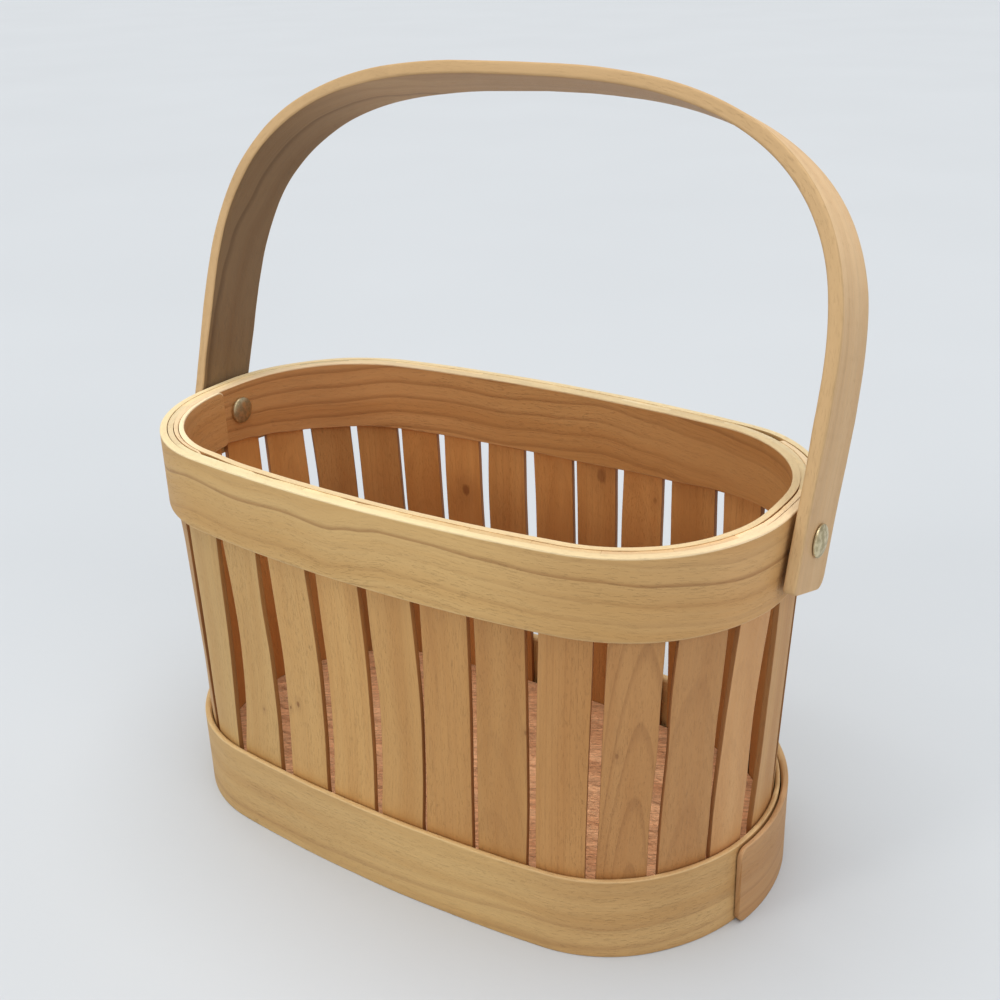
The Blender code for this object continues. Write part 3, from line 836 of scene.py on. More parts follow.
@dataclass
class Slats:
    """The upright slats of the wall, each a little different.

    Attributes:
        first_share: share at which the first opening lies by an even lay.
        drifts: how the even lay drifts once and twice round: by how much, and from where.
        ragged: uneven edges: size, the height over which they change, and the change by slat.
        closing: heights over which it closes there.
        flatness: how much of the wall's curve a slat leaves out, where nothing holds it.
        held: how far above the base band that starts, and the height where it starts to end.
        waver: uneven bow of a slat: size, and the height over which it changes.
        swell: how much thicker the slats are in the rim, at shares of the way round.
        crumble: how uneven their heads are there, and the distance over which that changes.
        head_wear_and_light: how far below the rim a head starts to look scuffed and to carry a
            painted highlight, and where it does fully.
        low_inner_shade: painted shade: colour of the inner faces low down, where less light
            reaches, beside that higher up.
        end_highlight: painted light: colour of the inner faces at the right end, where more light
            falls, beside the rest.
        front: how light, red and blue the slats in front are, by their number.
    """

    shell: Shell
    count: int = len(OPENINGS)
    first_share: float = 0.6111
    drifts: tuple[tuple[float, float], ...] = ((0.0033, 0.598), (0.0036, 0.21))
    ragged: tuple[tuple[float, float, float], ...] = ((0.00012, 0.02, 1.7), (0.00007, 0.004, 2.9))
    least_opening: float = 0.0010
    closed_top: float = 0.00008
    closing: tuple[float, float] = (0.1465, 0.1500)
    foot_clearance: float = 0.0005
    top_set_down: float = 0.0004
    edge: float = 0.00025
    rows: int = 60
    columns: int = 8
    flatness: float = 0.5
    held: tuple[float, float] = (0.03, 0.115)
    waver: tuple[float, float] = (0.0004, 0.06)
    swell: Line = (
        (0.0, -0.0002), (0.02, -0.0002), (0.035, 0.00022), (0.545, 0.00022), (0.555, 0.00006),
        (0.60, -0.00005), (0.63, 0.00004), (0.64, 0.00022), (0.675, 0.00022), (0.68, -0.0002),
        (0.694, -0.0002), (0.70, 0.00022), (0.738, 0.00022), (0.745, -0.0002), (0.755, -0.0002),
        (0.762, 0.00022), (0.84, 0.00022), (0.86, 0.0001), (0.89, 0.0001), (0.91, 0.00022),
        (0.965, 0.00022), (0.985, -0.0002), (1.0, -0.0002),
    )
    crumble: tuple[float, float] = (0.00016, 0.0025)
    head_wear_and_light: tuple[float, float] = (0.0016, 0.0010)
    low_inner_shade: Colour = (0.82, 0.80, 0.80)
    low_shade_reach: tuple[float, float] = (0.080, 0.132)
    end_highlight: Colour = (1.15, 1.10, 1.00)
    end_light_reach: tuple[float, float] = (0.05, 0.12)
    figured: int = 8
    figured_log: LogPlace = LogPlace(0.0035, 0.0018, 0.075, 4.31, 0.0010)
    figured_lines: float = 2.2
    other_lines: tuple[float, float] = (0.5, 1.2)
    first_log: int = 20
    front: Tones = (
        (0.0, (1.13, 0.91, 1.01)), (3.0, (1.08, 1.00, 0.92)), (6.0, (0.77, 1.13, 0.84)),
        (9.0, (0.79, 1.14, 0.95)), (10.0, (1.10, 1.06, 1.08)), (12.0, PLAIN),
    )

    def __post_init__(self) -> None:
        """Works out the ovals that the slats run between, and the length once round."""
        self.foot, self.head = self.shell.slat_foot, self.shell.slat_rim
        self.whole = (self.foot.length + self.head.length) / 2

    def lay(self, index: int) -> float:
        """Where the opening before a slat lies by an even lay, as a share of the way round."""
        even = index / self.count
        single, double = (
            size * math.cos(math.tau * (times * even - turn))
            for times, (size, turn) in enumerate(self.drifts, 1)
        )
        return self.first_share + even + single + double

    def opening(self, index: int, height: float) -> tuple[float, float]:
        """Middle of the opening before a slat, and its width, at a height.

        Args:
            index: the slat that follows it.
            height: above the table.

        Returns:
            A share of the way round and a width.
        """
        opening = OPENINGS[index % self.count]
        share, width = bowed(opening.shift, height), bowed(opening.width, height)
        width += sum(wobble(size, far, height, index * turn) for size, far, turn in self.ragged)
        hidden = eased(height, *self.closing)
        width = max(width, self.least_opening) * (1.0 - hidden) + self.closed_top * hidden
        return self.lay(index) + share, width

    def wall(self, share: float, height: float, deep: float) -> Vector:
        """A point on the wall, this deep behind the slats' outer face."""
        up = between(height, self.shell.base_height, self.shell.rim_bottom)
        low, low_out = self.foot.at(share)
        high, high_out = self.head.at(share)
        outward = low_out.lerp(high_out, up).normalized()
        return Vector((*(low.lerp(high, up) - outward * deep), height))

    def edges(self, index: int, height: float) -> tuple[float, float]:
        """Shares at a slat's two edges at a height."""
        start, before = self.opening(index, height)
        end, after = self.opening(index + 1, height)
        return start + before / 2 / self.whole, end - after / 2 / self.whole

    def place(
        self, index: int, height: float, edges: tuple[float, float], at: tuple[float, float, float]
    ) -> Vector:
        """Where a spot of a slat lies.

        Args:
            index: which slat.
            height: above the table.
            edges: shares of the way round at the slat's edges.
            at: the spot's share of the slat's width, share of the way round, and depth.

        Returns:
            Its place.
        """
        shell = self.shell
        share, round_share, deep = at
        held = eased(height, shell.base_height, shell.base_height + self.held[0])
        held *= 1.0 - eased(height, self.held[1], shell.rim_bottom)
        size, pitch = self.crumble
        swell = follow(self.swell, round_share % 1.0)
        swell += wobble(size, pitch, round_share * self.whole, index)
        swell *= eased(height, *self.closing) * (2 * deep / shell.slat - 1.0)
        place = self.wall(round_share, height, shell.slat - deep - swell)
        left, right = (self.wall(edge, height, 0.0) for edge in edges)
        curve = self.wall(round_share, height, 0.0)
        place = place + (left.lerp(right, share) - curve) * self.flatness * held
        outward = Vector((*self.foot.at(round_share)[1], 0.0))
        size, pitch = self.waver
        return place + outward * held * wobble(size, pitch, height, index * 2.3, share * 0.02)

    def ring(self, index: int, height: float, log: LogPlace) -> list[Spot]:
        """A slat's cross-section at a height.

        Args:
            index: which slat.
            height: above the table.
            log: where it lay in its log.

        Returns:
            Its outline.
        """
        shell = self.shell
        left, right = self.edges(index, height)
        width = (right - left) * self.whole
        # A slat's head is paler near the top: wear with a painted highlight
        head = between(height, *(shell.height - down for down in self.head_wear_and_light))
        section = Section(
            shell.slat, width, (self.edge,) * 4, rows=self.columns, turns=2, hold=0.0003
        )
        found = []
        for deep, across, _ in section.points():
            share = 0.5 + across / width
            round_share = left + (right - left) * share
            place = self.place(index, height, (left, right), (share, round_share, deep))
            inner = 1.0 if deep < shell.slat * 0.9 else 0.0
            side = 1.0 if abs(across) > width / 2 - 0.0001 else 0.0
            off_end = min(round_share % 1.0, 1.0 - round_share % 1.0)
            # Painted light on the inner faces near the right end
            end = inner * (1.0 - eased(off_end, *self.end_light_reach))
            # Painted shade on the inner faces low down
            low_shade = inner * (1.0 - end) * (1.0 - eased(height, *self.low_shade_reach))
            tones = zip(self.low_inner_shade, self.end_highlight)
            tone = tuple(mixed(low_shade, low) * mixed(end, lit) for low, lit in tones)
            # Negative wear paints shade on a slat's sides
            wear_and_light = head - side * (1.0 - head)
            # Painted inside shade, lifted at the head and near the right end
            inside = inner * (1.0 - head) * (1.0 - end)
            found.append(Spot(place, log.at(across, deep, height), wear_and_light, inside, tone))
        return found

    def heights(self) -> list[float]:
        """Heights of a slat's cross-sections, closer together near its head."""
        low, high = self.foot_clearance, self.shell.height - self.top_set_down
        found = [low + (high - 0.002 - low) * row / self.rows for row in range(self.rows + 1)]
        return found + [high - 0.0014, high - 0.0007, high]

    def tint(self, index: int) -> Colour:
        """How a slat's colour differs: in front yellow, brown, then pink, elsewhere a little."""
        dice = random.Random(index * 7 + 3)
        if index < self.front[-1][0]:
            light, red, blue = toned(self.front, index)
            light *= dice.uniform(0.97, 1.03)
            return (light * red, light, light * blue)
        light, warm = dice.uniform(0.84, 1.12), dice.uniform(-0.03, 0.04)
        return (light * (1.0 + warm), light, light * (1.0 - warm * 1.6))

    def build(self, finish: Finish) -> None:
        """Makes and dresses every slat."""
        dice = random.Random(11)
        for index in range(self.count):
            cut = dice.choice((Cut.FLAT, Cut.RIFT, Cut.RIFT, Cut.QUARTER))
            log, lines = self.figured_log, self.figured_lines
            if index != self.figured:
                log = LogPlace.of(cut, index + self.first_log)
                lines = dice.uniform(*self.other_lines)
            rings = [self.ring(index, height, log) for height in self.heights()]
            node = f"slat_{index + 1:02d}"
            obj = skin(f"{node}_wood", rings, self.tint(index), lines)
            place_in_frame(obj, node, "basket", finish)
        LOG.info("slats: %d", self.count)


@dataclass
class BaseBoard:
    """The sawn oval board inside the foot.

    Attributes:
        edge: how far its upper and lower edges are cut away.
        waver: how uneven its top is, and the distance over which that changes.
    """

    shell: Shell
    thickness: float = 0.0128
    edge: float = 0.0012
    edge_wear: float = 0.6
    around: int = 180
    steps: int = 14
    waver: tuple[float, float] = (0.0002, 0.012)
    log: LogPlace = LogPlace(0.02, 0.07, 0.01, 14.2, 0.004)

    def build(self, finish: Finish) -> None:
        """Makes and dresses the board."""
        oval = self.shell.board
        outline = [oval.at(step / self.around)[0] for step in range(self.around)]
        sizes = [step / self.steps for step in range(1, self.steps + 1)]
        profile = [(size, 0.0) for size in sizes] + [(size, self.thickness) for size in sizes[::-1]]
        rings = []
        for size, height in profile:
            at_edge = size == 1.0
            lift = self.edge if at_edge else 0.0
            up = height + (lift if height == 0.0 else -lift)
            ring = []
            for point in outline:
                place = Vector((point.x * size, point.y * size, up))
                if height > 0.0 and not at_edge:
                    place.z -= abs(wobble(*self.waver, place.x, place.y))
                grain = self.log.at(place.y, place.z, place.x)
                ring.append(Spot(place, grain, self.edge_wear if at_edge else 0.0))
            rings.append(ring)
        place_in_frame(skin("base_board_wood", rings), "base_board", "basket", finish)
        LOG.info("base board")


@dataclass
class Handle:
    """The bent strip that swings on the rivets.

    Attributes:
        inner_face: half the space between its arms.
        bow: how far the arms spread on their way up.
        foot_roundings: radii of an arm's lower corners, in front and behind.
        power: how square the arch's shoulders are.
        lean: how far it leans back in the photograph, in degrees.
        thicker: thickness added on the inner face.
        thicker_from: distances from a foot over which that sets in.
        uneven: how uneven its faces are, and the distance over which that changes.
        twist: slope across the strip, by the place along the basket.
        inner_line: a growth line of its inner face, along and across the strip.
        line_reach: how far from that line others fade.
        under_lines: strength of the inner face's other lines, and what the guided line adds.
        under_shade: how dark the inner face is, and what is added towards the left.
        shade_reach: how far left of the middle the added part sets in.
        shoulder_highlight: painted highlight: how much lighter the outer face is where it looks up
            towards the light.
    """

    set_back: float
    pivot: float
    inner_face: float
    width: float = 0.030
    thickness: float = 0.00485
    edge: float = 0.0008
    arm_rise: float = 0.0457
    arch_rise: float = 0.1103
    bow: float = 0.0008
    foot_drop: float = 0.0190
    foot_roundings: tuple[float, float] = (0.0022, 0.0056)
    power: float = 2.8
    lean: float = 18.1
    thicker: float = 0.0006
    thicker_from: tuple[float, float] = (0.035, 0.060)
    uneven: tuple[float, float] = (0.0003, 0.03)
    uneven_sides: tuple[float, float] = (0.0003, 0.02)
    twist: Line = (
        (-0.150, 0.0), (-0.138, 0.015), (-0.115, 0.050), (-0.060, 0.056), (-0.020, 0.035),
        (0.010, 0.008), (0.050, 0.012), (0.110, 0.016), (0.135, 0.0),
    )
    log: LogPlace = LogPlace(0.0832, 0.004, 0.0, 1.9, 0.0005, (
        (0.060, -0.0125), (0.078, -0.0108), (0.095, -0.0087), (0.121, -0.0039), (0.144, -0.0024),
        (0.165, -0.0018), (0.187, 0.0006), (0.197, 0.0021), (0.216, 0.0085), (0.235, 0.0150),
    ))
    line_reach: tuple[float, float] = (0.0015, 0.0060)
    under_lines: tuple[float, float] = (0.5, 1.7)
    over_lines: float = 0.3
    edge_lines: float = 1.2
    under_shade: tuple[float, float] = (0.40, 0.55)
    shade_reach: tuple[float, float] = (0.060, 0.135)
    shoulder_highlight: Colour = (1.26, 1.32, 1.40)
    arch_steps: int = 70
    arm_steps: int = 16
    foot_steps: int = 12

    def arch(self, angle: float) -> tuple[Vector, Vector]:
        """Point and outward direction of the middle line, from the side up to the crown."""
        half = self.inner_face + self.thickness / 2 + self.bow
        level = max(half * math.cos(angle), 0.0)
        upright = max(self.arch_rise * math.sin(angle), 0.0)
        share = 1.0 / (self.power - 1.0)
        spread = level ** (self.power * share) + upright ** (self.power * share)
        out = half * level**share / spread ** (1.0 / self.power)
        up = self.arch_rise * upright**share / spread ** (1.0 / self.power)
        return Vector((out, self.arm_rise + up)), Vector((math.cos(angle), math.sin(angle)))

    def line(self) -> list[tuple[Vector, Vector, float]]:
        """Middle line from foot to foot, with outward direction and distance from a foot."""
        half = self.inner_face + self.thickness / 2
        turns = [math.pi / 2 * step / self.foot_steps for step in range(self.foot_steps + 1)]
        drops = [max(self.foot_roundings) * (1.0 - math.cos(turn)) for turn in turns]
        heights = [drop - self.foot_drop for drop in drops]
        top = heights[-1]
        steps = range(1, self.arm_steps)
        heights += [top + (self.arm_rise - top) * step / self.arm_steps for step in steps]
        found = []
        for height in heights:
            bow = self.bow * smooth_step(height / self.arm_rise)
            place = Vector((half + bow, height))
            found.append((place, Vector((1.0, 0.0)), height + self.foot_drop))
        for step in range(self.arch_steps + 1):
            point, out = self.arch(math.pi / 2 * step / self.arch_steps)
            found.append((point, out, point.y + self.foot_drop))
        other = [
            (Vector((-point.x, point.y)), Vector((-out.x, out.y)), far)
            for point, out, far in found[:-1]
        ]
        return other + found[::-1]

    def ring(self, point: Vector, out: Vector, far: float, along: float) -> list[Spot]:
        """The strip's cross-section at a point of its middle line.

        Args:
            point: the point, along the basket and up from the pivot.
            out: the strip's outward direction there.
            far: distance from the nearer foot.
            along: distance from the left foot along the strip.

        Returns:
            Its outline.
        """
        turn = Matrix.Rotation(-math.radians(self.lean), 4, "X")
        at = Vector((0.0, self.set_back, self.pivot))
        section = Section(self.thickness, self.width, (self.edge,) * 4, rows=12, hold=0.0006)
        shade, added = self.under_shade
        inner = shade + added * eased(-point.x, *self.shade_reach)
        lines, more_lines = self.under_lines
        guide = follow(self.log.guide, along)
        found = []
        taken = (rounding_at(far, radius) for radius in self.foot_roundings)
        for deep, across, wear_and_light in section.points(*taken):
            uneven = abs(wobble(*self.uneven, along, across)) * (1.0 if wear_and_light else 0.4)
            off = deep - self.thickness / 2
            off -= math.copysign(uneven, off)
            off -= self.thicker * eased(far, *self.thicker_from) * (1.0 - deep / self.thickness)
            off -= (across + self.width / 2) * follow(self.twist, point.x)
            spot = point + out * off
            ragged = abs(wobble(*self.uneven_sides, along, off * 3))
            side = across - math.copysign(ragged, across)
            place = turn @ Vector((spot.x, side, spot.y)) + at
            under, over = deep < 0.0001, deep > self.thickness - 0.0001 and not wear_and_light
            # Painted highlight on the outer face where it looks up
            lit = eased(out.y, 0.0, 0.5) if over else 0.0
            tone = tuple(mixed(lit, value) for value in self.shoulder_highlight)
            drawn = self.over_lines if over else self.edge_lines
            if under:
                drawn = lines + more_lines * (1.0 - eased(abs(across - guide), *self.line_reach))
            grain = self.log.at(across, deep, along)
            found.append(Spot(place, grain, wear_and_light, inner if under else 0.0, tone, drawn))
        return found

    def build(self, finish: Finish) -> None:
        """Makes and dresses the handle."""
        line = self.line()
        rings, along, last = [], 0.0, line[0][0]
        for point, out, far in line:
            along += (point - last).length
            last = point
            rings.append(self.ring(point, out, far, along))
        place_in_frame(skin("handle_wood", rings), "handle", "handle", finish)
        LOG.info("handle, %.0f mm of strip", along * 1000)


@dataclass
class Fastenings:
    """Rivets with their caps and spacers at both ends.

    Attributes:
        tip: radius that stands for a turned piece's middle.
        cap_size: how much of its solid's radius a cap takes.
        brim: heights of a head's straight side and of a cap's.
        edge: how far a piece's lower edge is cut away.
        dents: how uneven a head and a cap are.
    """

    set_back: float
    pivot: float
    nodes: dict[str, bpy.types.Object]
    sides: int = 56
    tip: float = 0.0004
    shank: float = 0.0025
    socket: float = 0.0028
    socket_depth: float = 0.0012
    cap_size: float = 0.95
    head_height: float = 0.0021
    head_rise: float = 0.0016
    brim: tuple[float, float] = (0.0005, 0.0008)
    edge: float = 0.0002
    dents: tuple[float, float] = (0.00005, 0.00006)
    dent: float = 0.003

    def turned(
        self, node: str, profile: Line, side: int, dents: float, finish: Finish
    ) -> None:
        """Makes and dresses a piece turned about the rivets' line.

        Args:
            node: the solid that it stands for.
            profile: points as (distance out from the basket's middle, radius).
            side: 1 for the right end of the basket and -1 for the left.
            dents: how uneven its face is.
            finish: its material.
        """
        rings = []
        for out, radius in profile:
            ring = []
            for step in range(self.sides):
                angle = math.tau * step / self.sides
                across, up = radius * math.cos(angle), radius * math.sin(angle)
                push = wobble(dents, self.dent, across, up, out + side)
                spot = Vector(((out + push) * side, self.set_back + across, self.pivot + up))
                ring.append(Spot(spot, Vector((across, up, out))))
            rings.append(ring)
        place_in_frame(skin(f"{node}_brass", rings), node, "basket", finish)

    @staticmethod
    def dome(base: float, radius: float, rise: float, steps: int = 10) -> Line:
        """Points of a low dome from its edge to just short of its top."""
        angles = [math.pi / 2 * step / (steps + 1) for step in range(steps + 1)]
        return tuple((base + rise * math.sin(turn), radius * math.cos(turn)) for turn in angles)

    @staticmethod
    def reach(node: str) -> tuple[float, float, float]:
        """How near to the basket's middle a solid starts, how far out it ends, and its radius."""
        low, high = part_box(node)
        near, far = sorted((abs(low[0]), abs(high[0])))
        return near, far, (high[2] - low[2]) / 2

    def build(self, finish: Finish) -> None:
        """Makes and dresses the metal pieces."""
        for end, side in (("right", 1), ("left", -1)):
            start, top, radius = self.reach(f"rivet_{end}")
            seat = top - self.head_height
            head = (
                (start, self.tip), (start, self.shank), (seat, self.shank),
                (seat, radius - self.edge), (seat + self.edge, radius),
                *self.dome(seat + self.brim[0], radius, self.head_rise),
            )
            self.turned(f"rivet_{end}", head, side, self.dents[0], finish)
            inner, outer, radius = self.reach(f"rivet_cap_{end}")
            radius *= self.cap_size
            floor, brim = outer - self.socket_depth, self.brim[1]
            cap = (
                (floor, self.tip), (floor, self.socket), (outer, self.socket),
                (outer, radius - self.edge), (outer - self.edge, radius),
                *self.dome(outer - brim, radius, inner - outer + brim),
            )
            self.turned(f"rivet_cap_{end}", cap, side, self.dents[1], finish)
            for held in self.nodes[f"spacer_{end}"].material_slots:
                held.material = finish
        LOG.info("rivets, caps and spacers")


class NodeBench:
    """Lays out one material's nodes, and names each step in the maker's terms."""

    def __init__(self, name: str) -> None:
        """Starts a material of this name with its shader."""
        self.material = bpy.data.materials.new(name)
        self.material.use_nodes = True
        self.tree = self.material.node_tree
        self.shader = self.tree.nodes["Principled BSDF"]

    def node(self, kind: str, **settings: object) -> bpy.types.Node:
        """A new node with settings."""
        made = self.tree.nodes.new(kind)
        for name, value in settings.items():
            setattr(made, name, value)
        return made

    def feed(self, socket: Socket, value: object) -> None:
        """Sets a socket to a value, or links it to another socket."""
        if isinstance(value, Socket):
            self.tree.links.new(value, socket)
        elif isinstance(value, tuple) and len(value) == 3 and socket.type == "RGBA":
            socket.default_value = (*value, 1.0)
        else:
            socket.default_value = value

    def dress(self, **values: object) -> None:
        """Feeds the shader's sockets by name, with _ for a space."""
        for name, value in values.items():
            self.feed(self.shader.inputs[name.replace("_", " ")], value)

    def attribute(self, name: str, output: str = "Fac") -> Socket:
        """One of the values that a piece carries."""
        return self.node("ShaderNodeAttribute", attribute_name=name).outputs[output]

    def here(self) -> Socket:
        """The place on the piece, in its own frame."""
        return self.node("ShaderNodeTexCoord").outputs["Object"]

    def vector(self, kind: str, first: object, second: object = None) -> Socket:
        """One step of vector sums. Length gives a number."""
        made = self.node("ShaderNodeVectorMath", operation=kind)
        self.feed(made.inputs[0], first)
        if second is not None:
            self.feed(made.inputs[1], second)
        return made.outputs["Value" if kind == "LENGTH" else "Vector"]

    def noise(self, where: Socket, by: Colour, detail: float = 2.0, twist: float = 0.0) -> Socket:
        """Uneven values from 0 to 1.

        Args:
            where: the place.
            by: how often they change for each metre along each axis.
            detail: how many finer layers they have.
            twist: how much they curl.

        Returns:
            The values.
        """
        made = self.node("ShaderNodeTexNoise")
        self.feed(made.inputs["Vector"], self.vector("MULTIPLY", where, by))
        for name, value in (("Scale", 1.0), ("Detail", detail), ("Distortion", twist)):
            made.inputs[name].default_value = value
        return made.outputs[0]

    def sum(self, kind: str, first: object, second: object = 0.0, held: bool = False) -> Socket:
        """One step of sums, held between 0 and 1 if wanted."""
        made = self.node("ShaderNodeMath", operation=kind, use_clamp=held)
        self.feed(made.inputs[0], first)
        self.feed(made.inputs[1], second)
        return made.outputs[0]

    def times(self, first: object, second: object, held: bool = False) -> Socket:
        """A product, held between 0 and 1 if wanted."""
        return self.sum("MULTIPLY", first, second, held)

    def rise(self, value: object, low: float, high: float) -> Socket:
        """0 below low, 1 above high and smooth between; low may be the greater."""
        made = self.node("ShaderNodeMapRange", interpolation_type="SMOOTHSTEP")
        self.feed(made.inputs["Value"], value)
        ends = (low, high, 0.0, 1.0) if low < high else (high, low, 1.0, 0.0)
        for index, end in enumerate(ends):
            made.inputs[index + 1].default_value = end
        return made.outputs[0]

    def scaled(self, value: object, low: float, high: float) -> Socket:
        """A value from 0 to 1 spread over another range."""
        made = self.node("ShaderNodeMapRange")
        self.feed(made.inputs["Value"], value)
        made.inputs["To Min"].default_value = low
        made.inputs["To Max"].default_value = high
        return made.outputs[0]

    def mix(self, share: object, first: object, second: object, kind: str = "MIX") -> Socket:
        """Two colours mixed by a share."""
        made = self.node("ShaderNodeMix", data_type="RGBA", blend_type=kind)
        self.feed(made.inputs[0], share)
        self.feed(made.inputs[6], first)
        self.feed(made.inputs[7], second)
        return made.outputs[2]

    def shaded(self, colour: Socket, value: Socket) -> Socket:
        """A colour made lighter or darker by a value."""
        made = self.node("ShaderNodeCombineColor")
        for index in range(3):
            self.feed(made.inputs[index], value)
        return self.mix(1.0, colour, made.outputs[0], "MULTIPLY")

    def bump(self, height: Socket, distance: float, strength: float = 1.0) -> None:
        """Gives the shader a relief of this depth."""
        made = self.node("ShaderNodeBump")
        made.inputs["Distance"].default_value = distance
        made.inputs["Strength"].default_value = strength
        self.feed(made.inputs["Height"], height)
        self.dress(Normal=made.outputs[0])


@dataclass(frozen=True)
class Knot:
    """A small knot or stain."""

    place: Colour
    radius: float
    strength: float = 1.0


@dataclass(frozen=True)
class Layer:
    """One layer of uneven values in a wood.

    Attributes:
        across: how often it changes for each metre across the grain.
        along: how often it does along the grain.
        detail: how many finer layers it has.
    """

    across: float
    along: float
    detail: float

    def laid(self, bench: NodeBench, grain: Socket) -> Socket:
        """Its values in a material, from 0 to 1."""
        return bench.noise(grain, (self.across, self.across, self.along), self.detail)


BEND = Layer(70.0, 7.0, 2.0)
LINE_PATCHES = Layer(38.0, 3.0, 1.0)
FAINT_PATCHES = Layer(130.0, 6.0, 1.0)
BROAD = Layer(90.0, 5.0, 3.0)
FIBRE = Layer(1300.0, 38.0, 4.0)
FINE = Layer(2600.0, 140.0, 2.0)
PORES = Layer(3400.0, 260.0, 1.0)
PORE_PATCHES = Layer(60.0, 9.0, 1.0)
FUZZ = Layer(500.0, 900.0, 3.0)
# Shares of a growth ring at which its dark line sets in and breaks off, and the same for the
# faint rings between, with their size and depth beside the ring's
LATE, BREAK = (0.62, 0.92), (1.0, 0.93)
FAINT_LATE, FAINT_BREAK = (0.5, 0.9), (1.0, 0.9)
FAINT_RING, FAINT_DEPTH = 0.31, 0.32
# Values of their patches at which rings, faint rings, pores and warm wood show
LINE_SHOWS, FAINT_SHOWS = (0.24, 0.50), (0.42, 0.70)
PORE_SHOWS, WARM_SHOWS = (0.60, 0.72), (0.30, 0.72)
# Strengths of a piece's lines from which no patch hides them
UNBROKEN = (1.3, 1.7)


@dataclass(frozen=True)
class BentWood:
    """A plain, lightly finished wood, seen close.

    Attributes:
        pale: colour of the early growth.
        warm: colour of the late growth's broad tone.
        dark: colour of its lines and pores.
        edge: colour of its cut and scuffed edges; on the bands' upper edges and the slats' heads it
            is also a painted highlight.
        ring: distance between growth rings.
        ring_depth: how dark the rings' lines are.
        ring_bend: how uneven they run.
        streak: how strong the fine fibres show.
        pores: how strong the pores show.
        sawn: how strong the saw's marks show.
        saw_turn: angle that the saw's marks run at, from the basket's length.
        roughness: least and most.
        relief: depth of the fibres.
        knots: knots and stains.
        inner: painted shade: by how much the faces inside the basket, and the handle's inner face,
            are darker and redder where less light reaches them.
        painted_side_shade: how dark the painted shade is on sides with negative wear, the slats'
            sides in the openings.
    """

    name: str
    pale: Colour
    warm: Colour
    dark: Colour
    edge: Colour
    ring: float = 0.0035
    ring_depth: float = 0.45
    ring_bend: float = 0.0022
    streak: float = 0.16
    pores: float = 0.35
    sawn: float = 0.0
    saw_turn: float = 0.6
    roughness: tuple[float, float] = (0.48, 0.68)
    relief: float = 0.00012
    knots: tuple[Knot, ...] = ()
    inner: Colour = (0.80, 0.62, 0.52)
    painted_side_shade: float = 0.65

    def rings(self, bench: NodeBench, grain: Socket, bend: Socket) -> Socket:
        """How dark the growth lines are.

        Args:
            bench: the material's nodes.
            grain: spots in the log.
            bend: uneven values that the rings follow.

        Returns:
            Values from 0 to 1.
        """
        reach = bench.vector("LENGTH", bench.vector("MULTIPLY", grain, (1.0, 1.0, 0.0)))
        reach = bench.sum("ADD", reach, bench.scaled(bend, -self.ring_bend, self.ring_bend))
        turn = bench.sum("FRACT", bench.sum("DIVIDE", reach, self.ring))
        line = bench.times(bench.rise(turn, *LATE), bench.rise(turn, *BREAK))
        kept = bench.rise(LINE_PATCHES.laid(bench, grain), *LINE_SHOWS)
        drawn = bench.rise(bench.attribute("tint", "Alpha"), *UNBROKEN)
        line = bench.times(line, bench.sum("MAXIMUM", kept, drawn))
        turn = bench.sum("FRACT", bench.sum("DIVIDE", reach, self.ring * FAINT_RING))
        faint = bench.times(bench.rise(turn, *FAINT_LATE), bench.rise(turn, *FAINT_BREAK))
        kept = bench.rise(FAINT_PATCHES.laid(bench, grain), *FAINT_SHOWS)
        return bench.sum("MAXIMUM", line, bench.times(bench.times(faint, kept), FAINT_DEPTH))

    def build(self) -> Finish:
        """Makes the material."""
        bench = NodeBench(self.name)
        grain = bench.attribute("grain", "Vector")
        wear_and_light, strength = bench.attribute("wear_and_light"), bench.attribute("tint", "Alpha")
        bend, broad, fibre, fine, pore, patches = (
            layer.laid(bench, grain) for layer in (BEND, BROAD, FIBRE, FINE, PORES, PORE_PATCHES)
        )
        line = self.rings(bench, grain, bend)
        pore = bench.times(bench.rise(pore, *PORE_SHOWS), bench.scaled(patches, 0.0, 1.6))

        colour = bench.mix(bench.rise(broad, *WARM_SHOWS), self.pale, self.warm)
        lines = bench.times(strength, self.ring_depth)
        colour = bench.mix(bench.times(line, lines, True), colour, self.dark)
        half = self.streak * 0.5
        tone = bench.scaled(fibre, 1.0 - self.streak, 1.0 + self.streak)
        tone = bench.times(tone, bench.scaled(fine, 1.0 - half, 1.0 + half))
        colour = bench.shaded(colour, tone)
        colour = bench.mix(bench.times(pore, self.pores, True), colour, self.dark)
        # Paler edge colour where wear is positive: real wear, and a painted highlight on upper
        # edges and slat heads
        rubbed_and_lit = bench.times(wear_and_light, bench.scaled(broad, 0.35, 0.95), True)
        colour = bench.mix(rubbed_and_lit, colour, self.edge)
        # Painted shade towards the dark colour where wear is negative, on the slats' sides
        colour = bench.mix(bench.times(wear_and_light, -self.painted_side_shade, True), colour, self.dark)
        height = bench.sum("ADD", bench.times(fibre, 0.8), bench.times(pore, -0.9))
        if self.sawn > 0.0:
            colour, height = self.saw(bench, grain, colour, height)
        if self.knots:
            colour = self.spots(bench, colour)
        colour = bench.mix(1.0, colour, bench.attribute("tint", "Color"), "MULTIPLY")
        # Painted shade: faces weighted by the inside attribute take a darker copy of the colour
        darker = bench.mix(1.0, colour, self.inner, "MULTIPLY")
        rough = bench.sum("ADD", fibre, bench.times(pore, 0.6), True)
        bench.dress(
            Base_Color=bench.mix(bench.attribute("inside"), colour, darker),
            Roughness=bench.scaled(rough, *self.roughness),
            Specular_IOR_Level=0.35,
        )
        bench.bump(height, self.relief)
        return bench.material

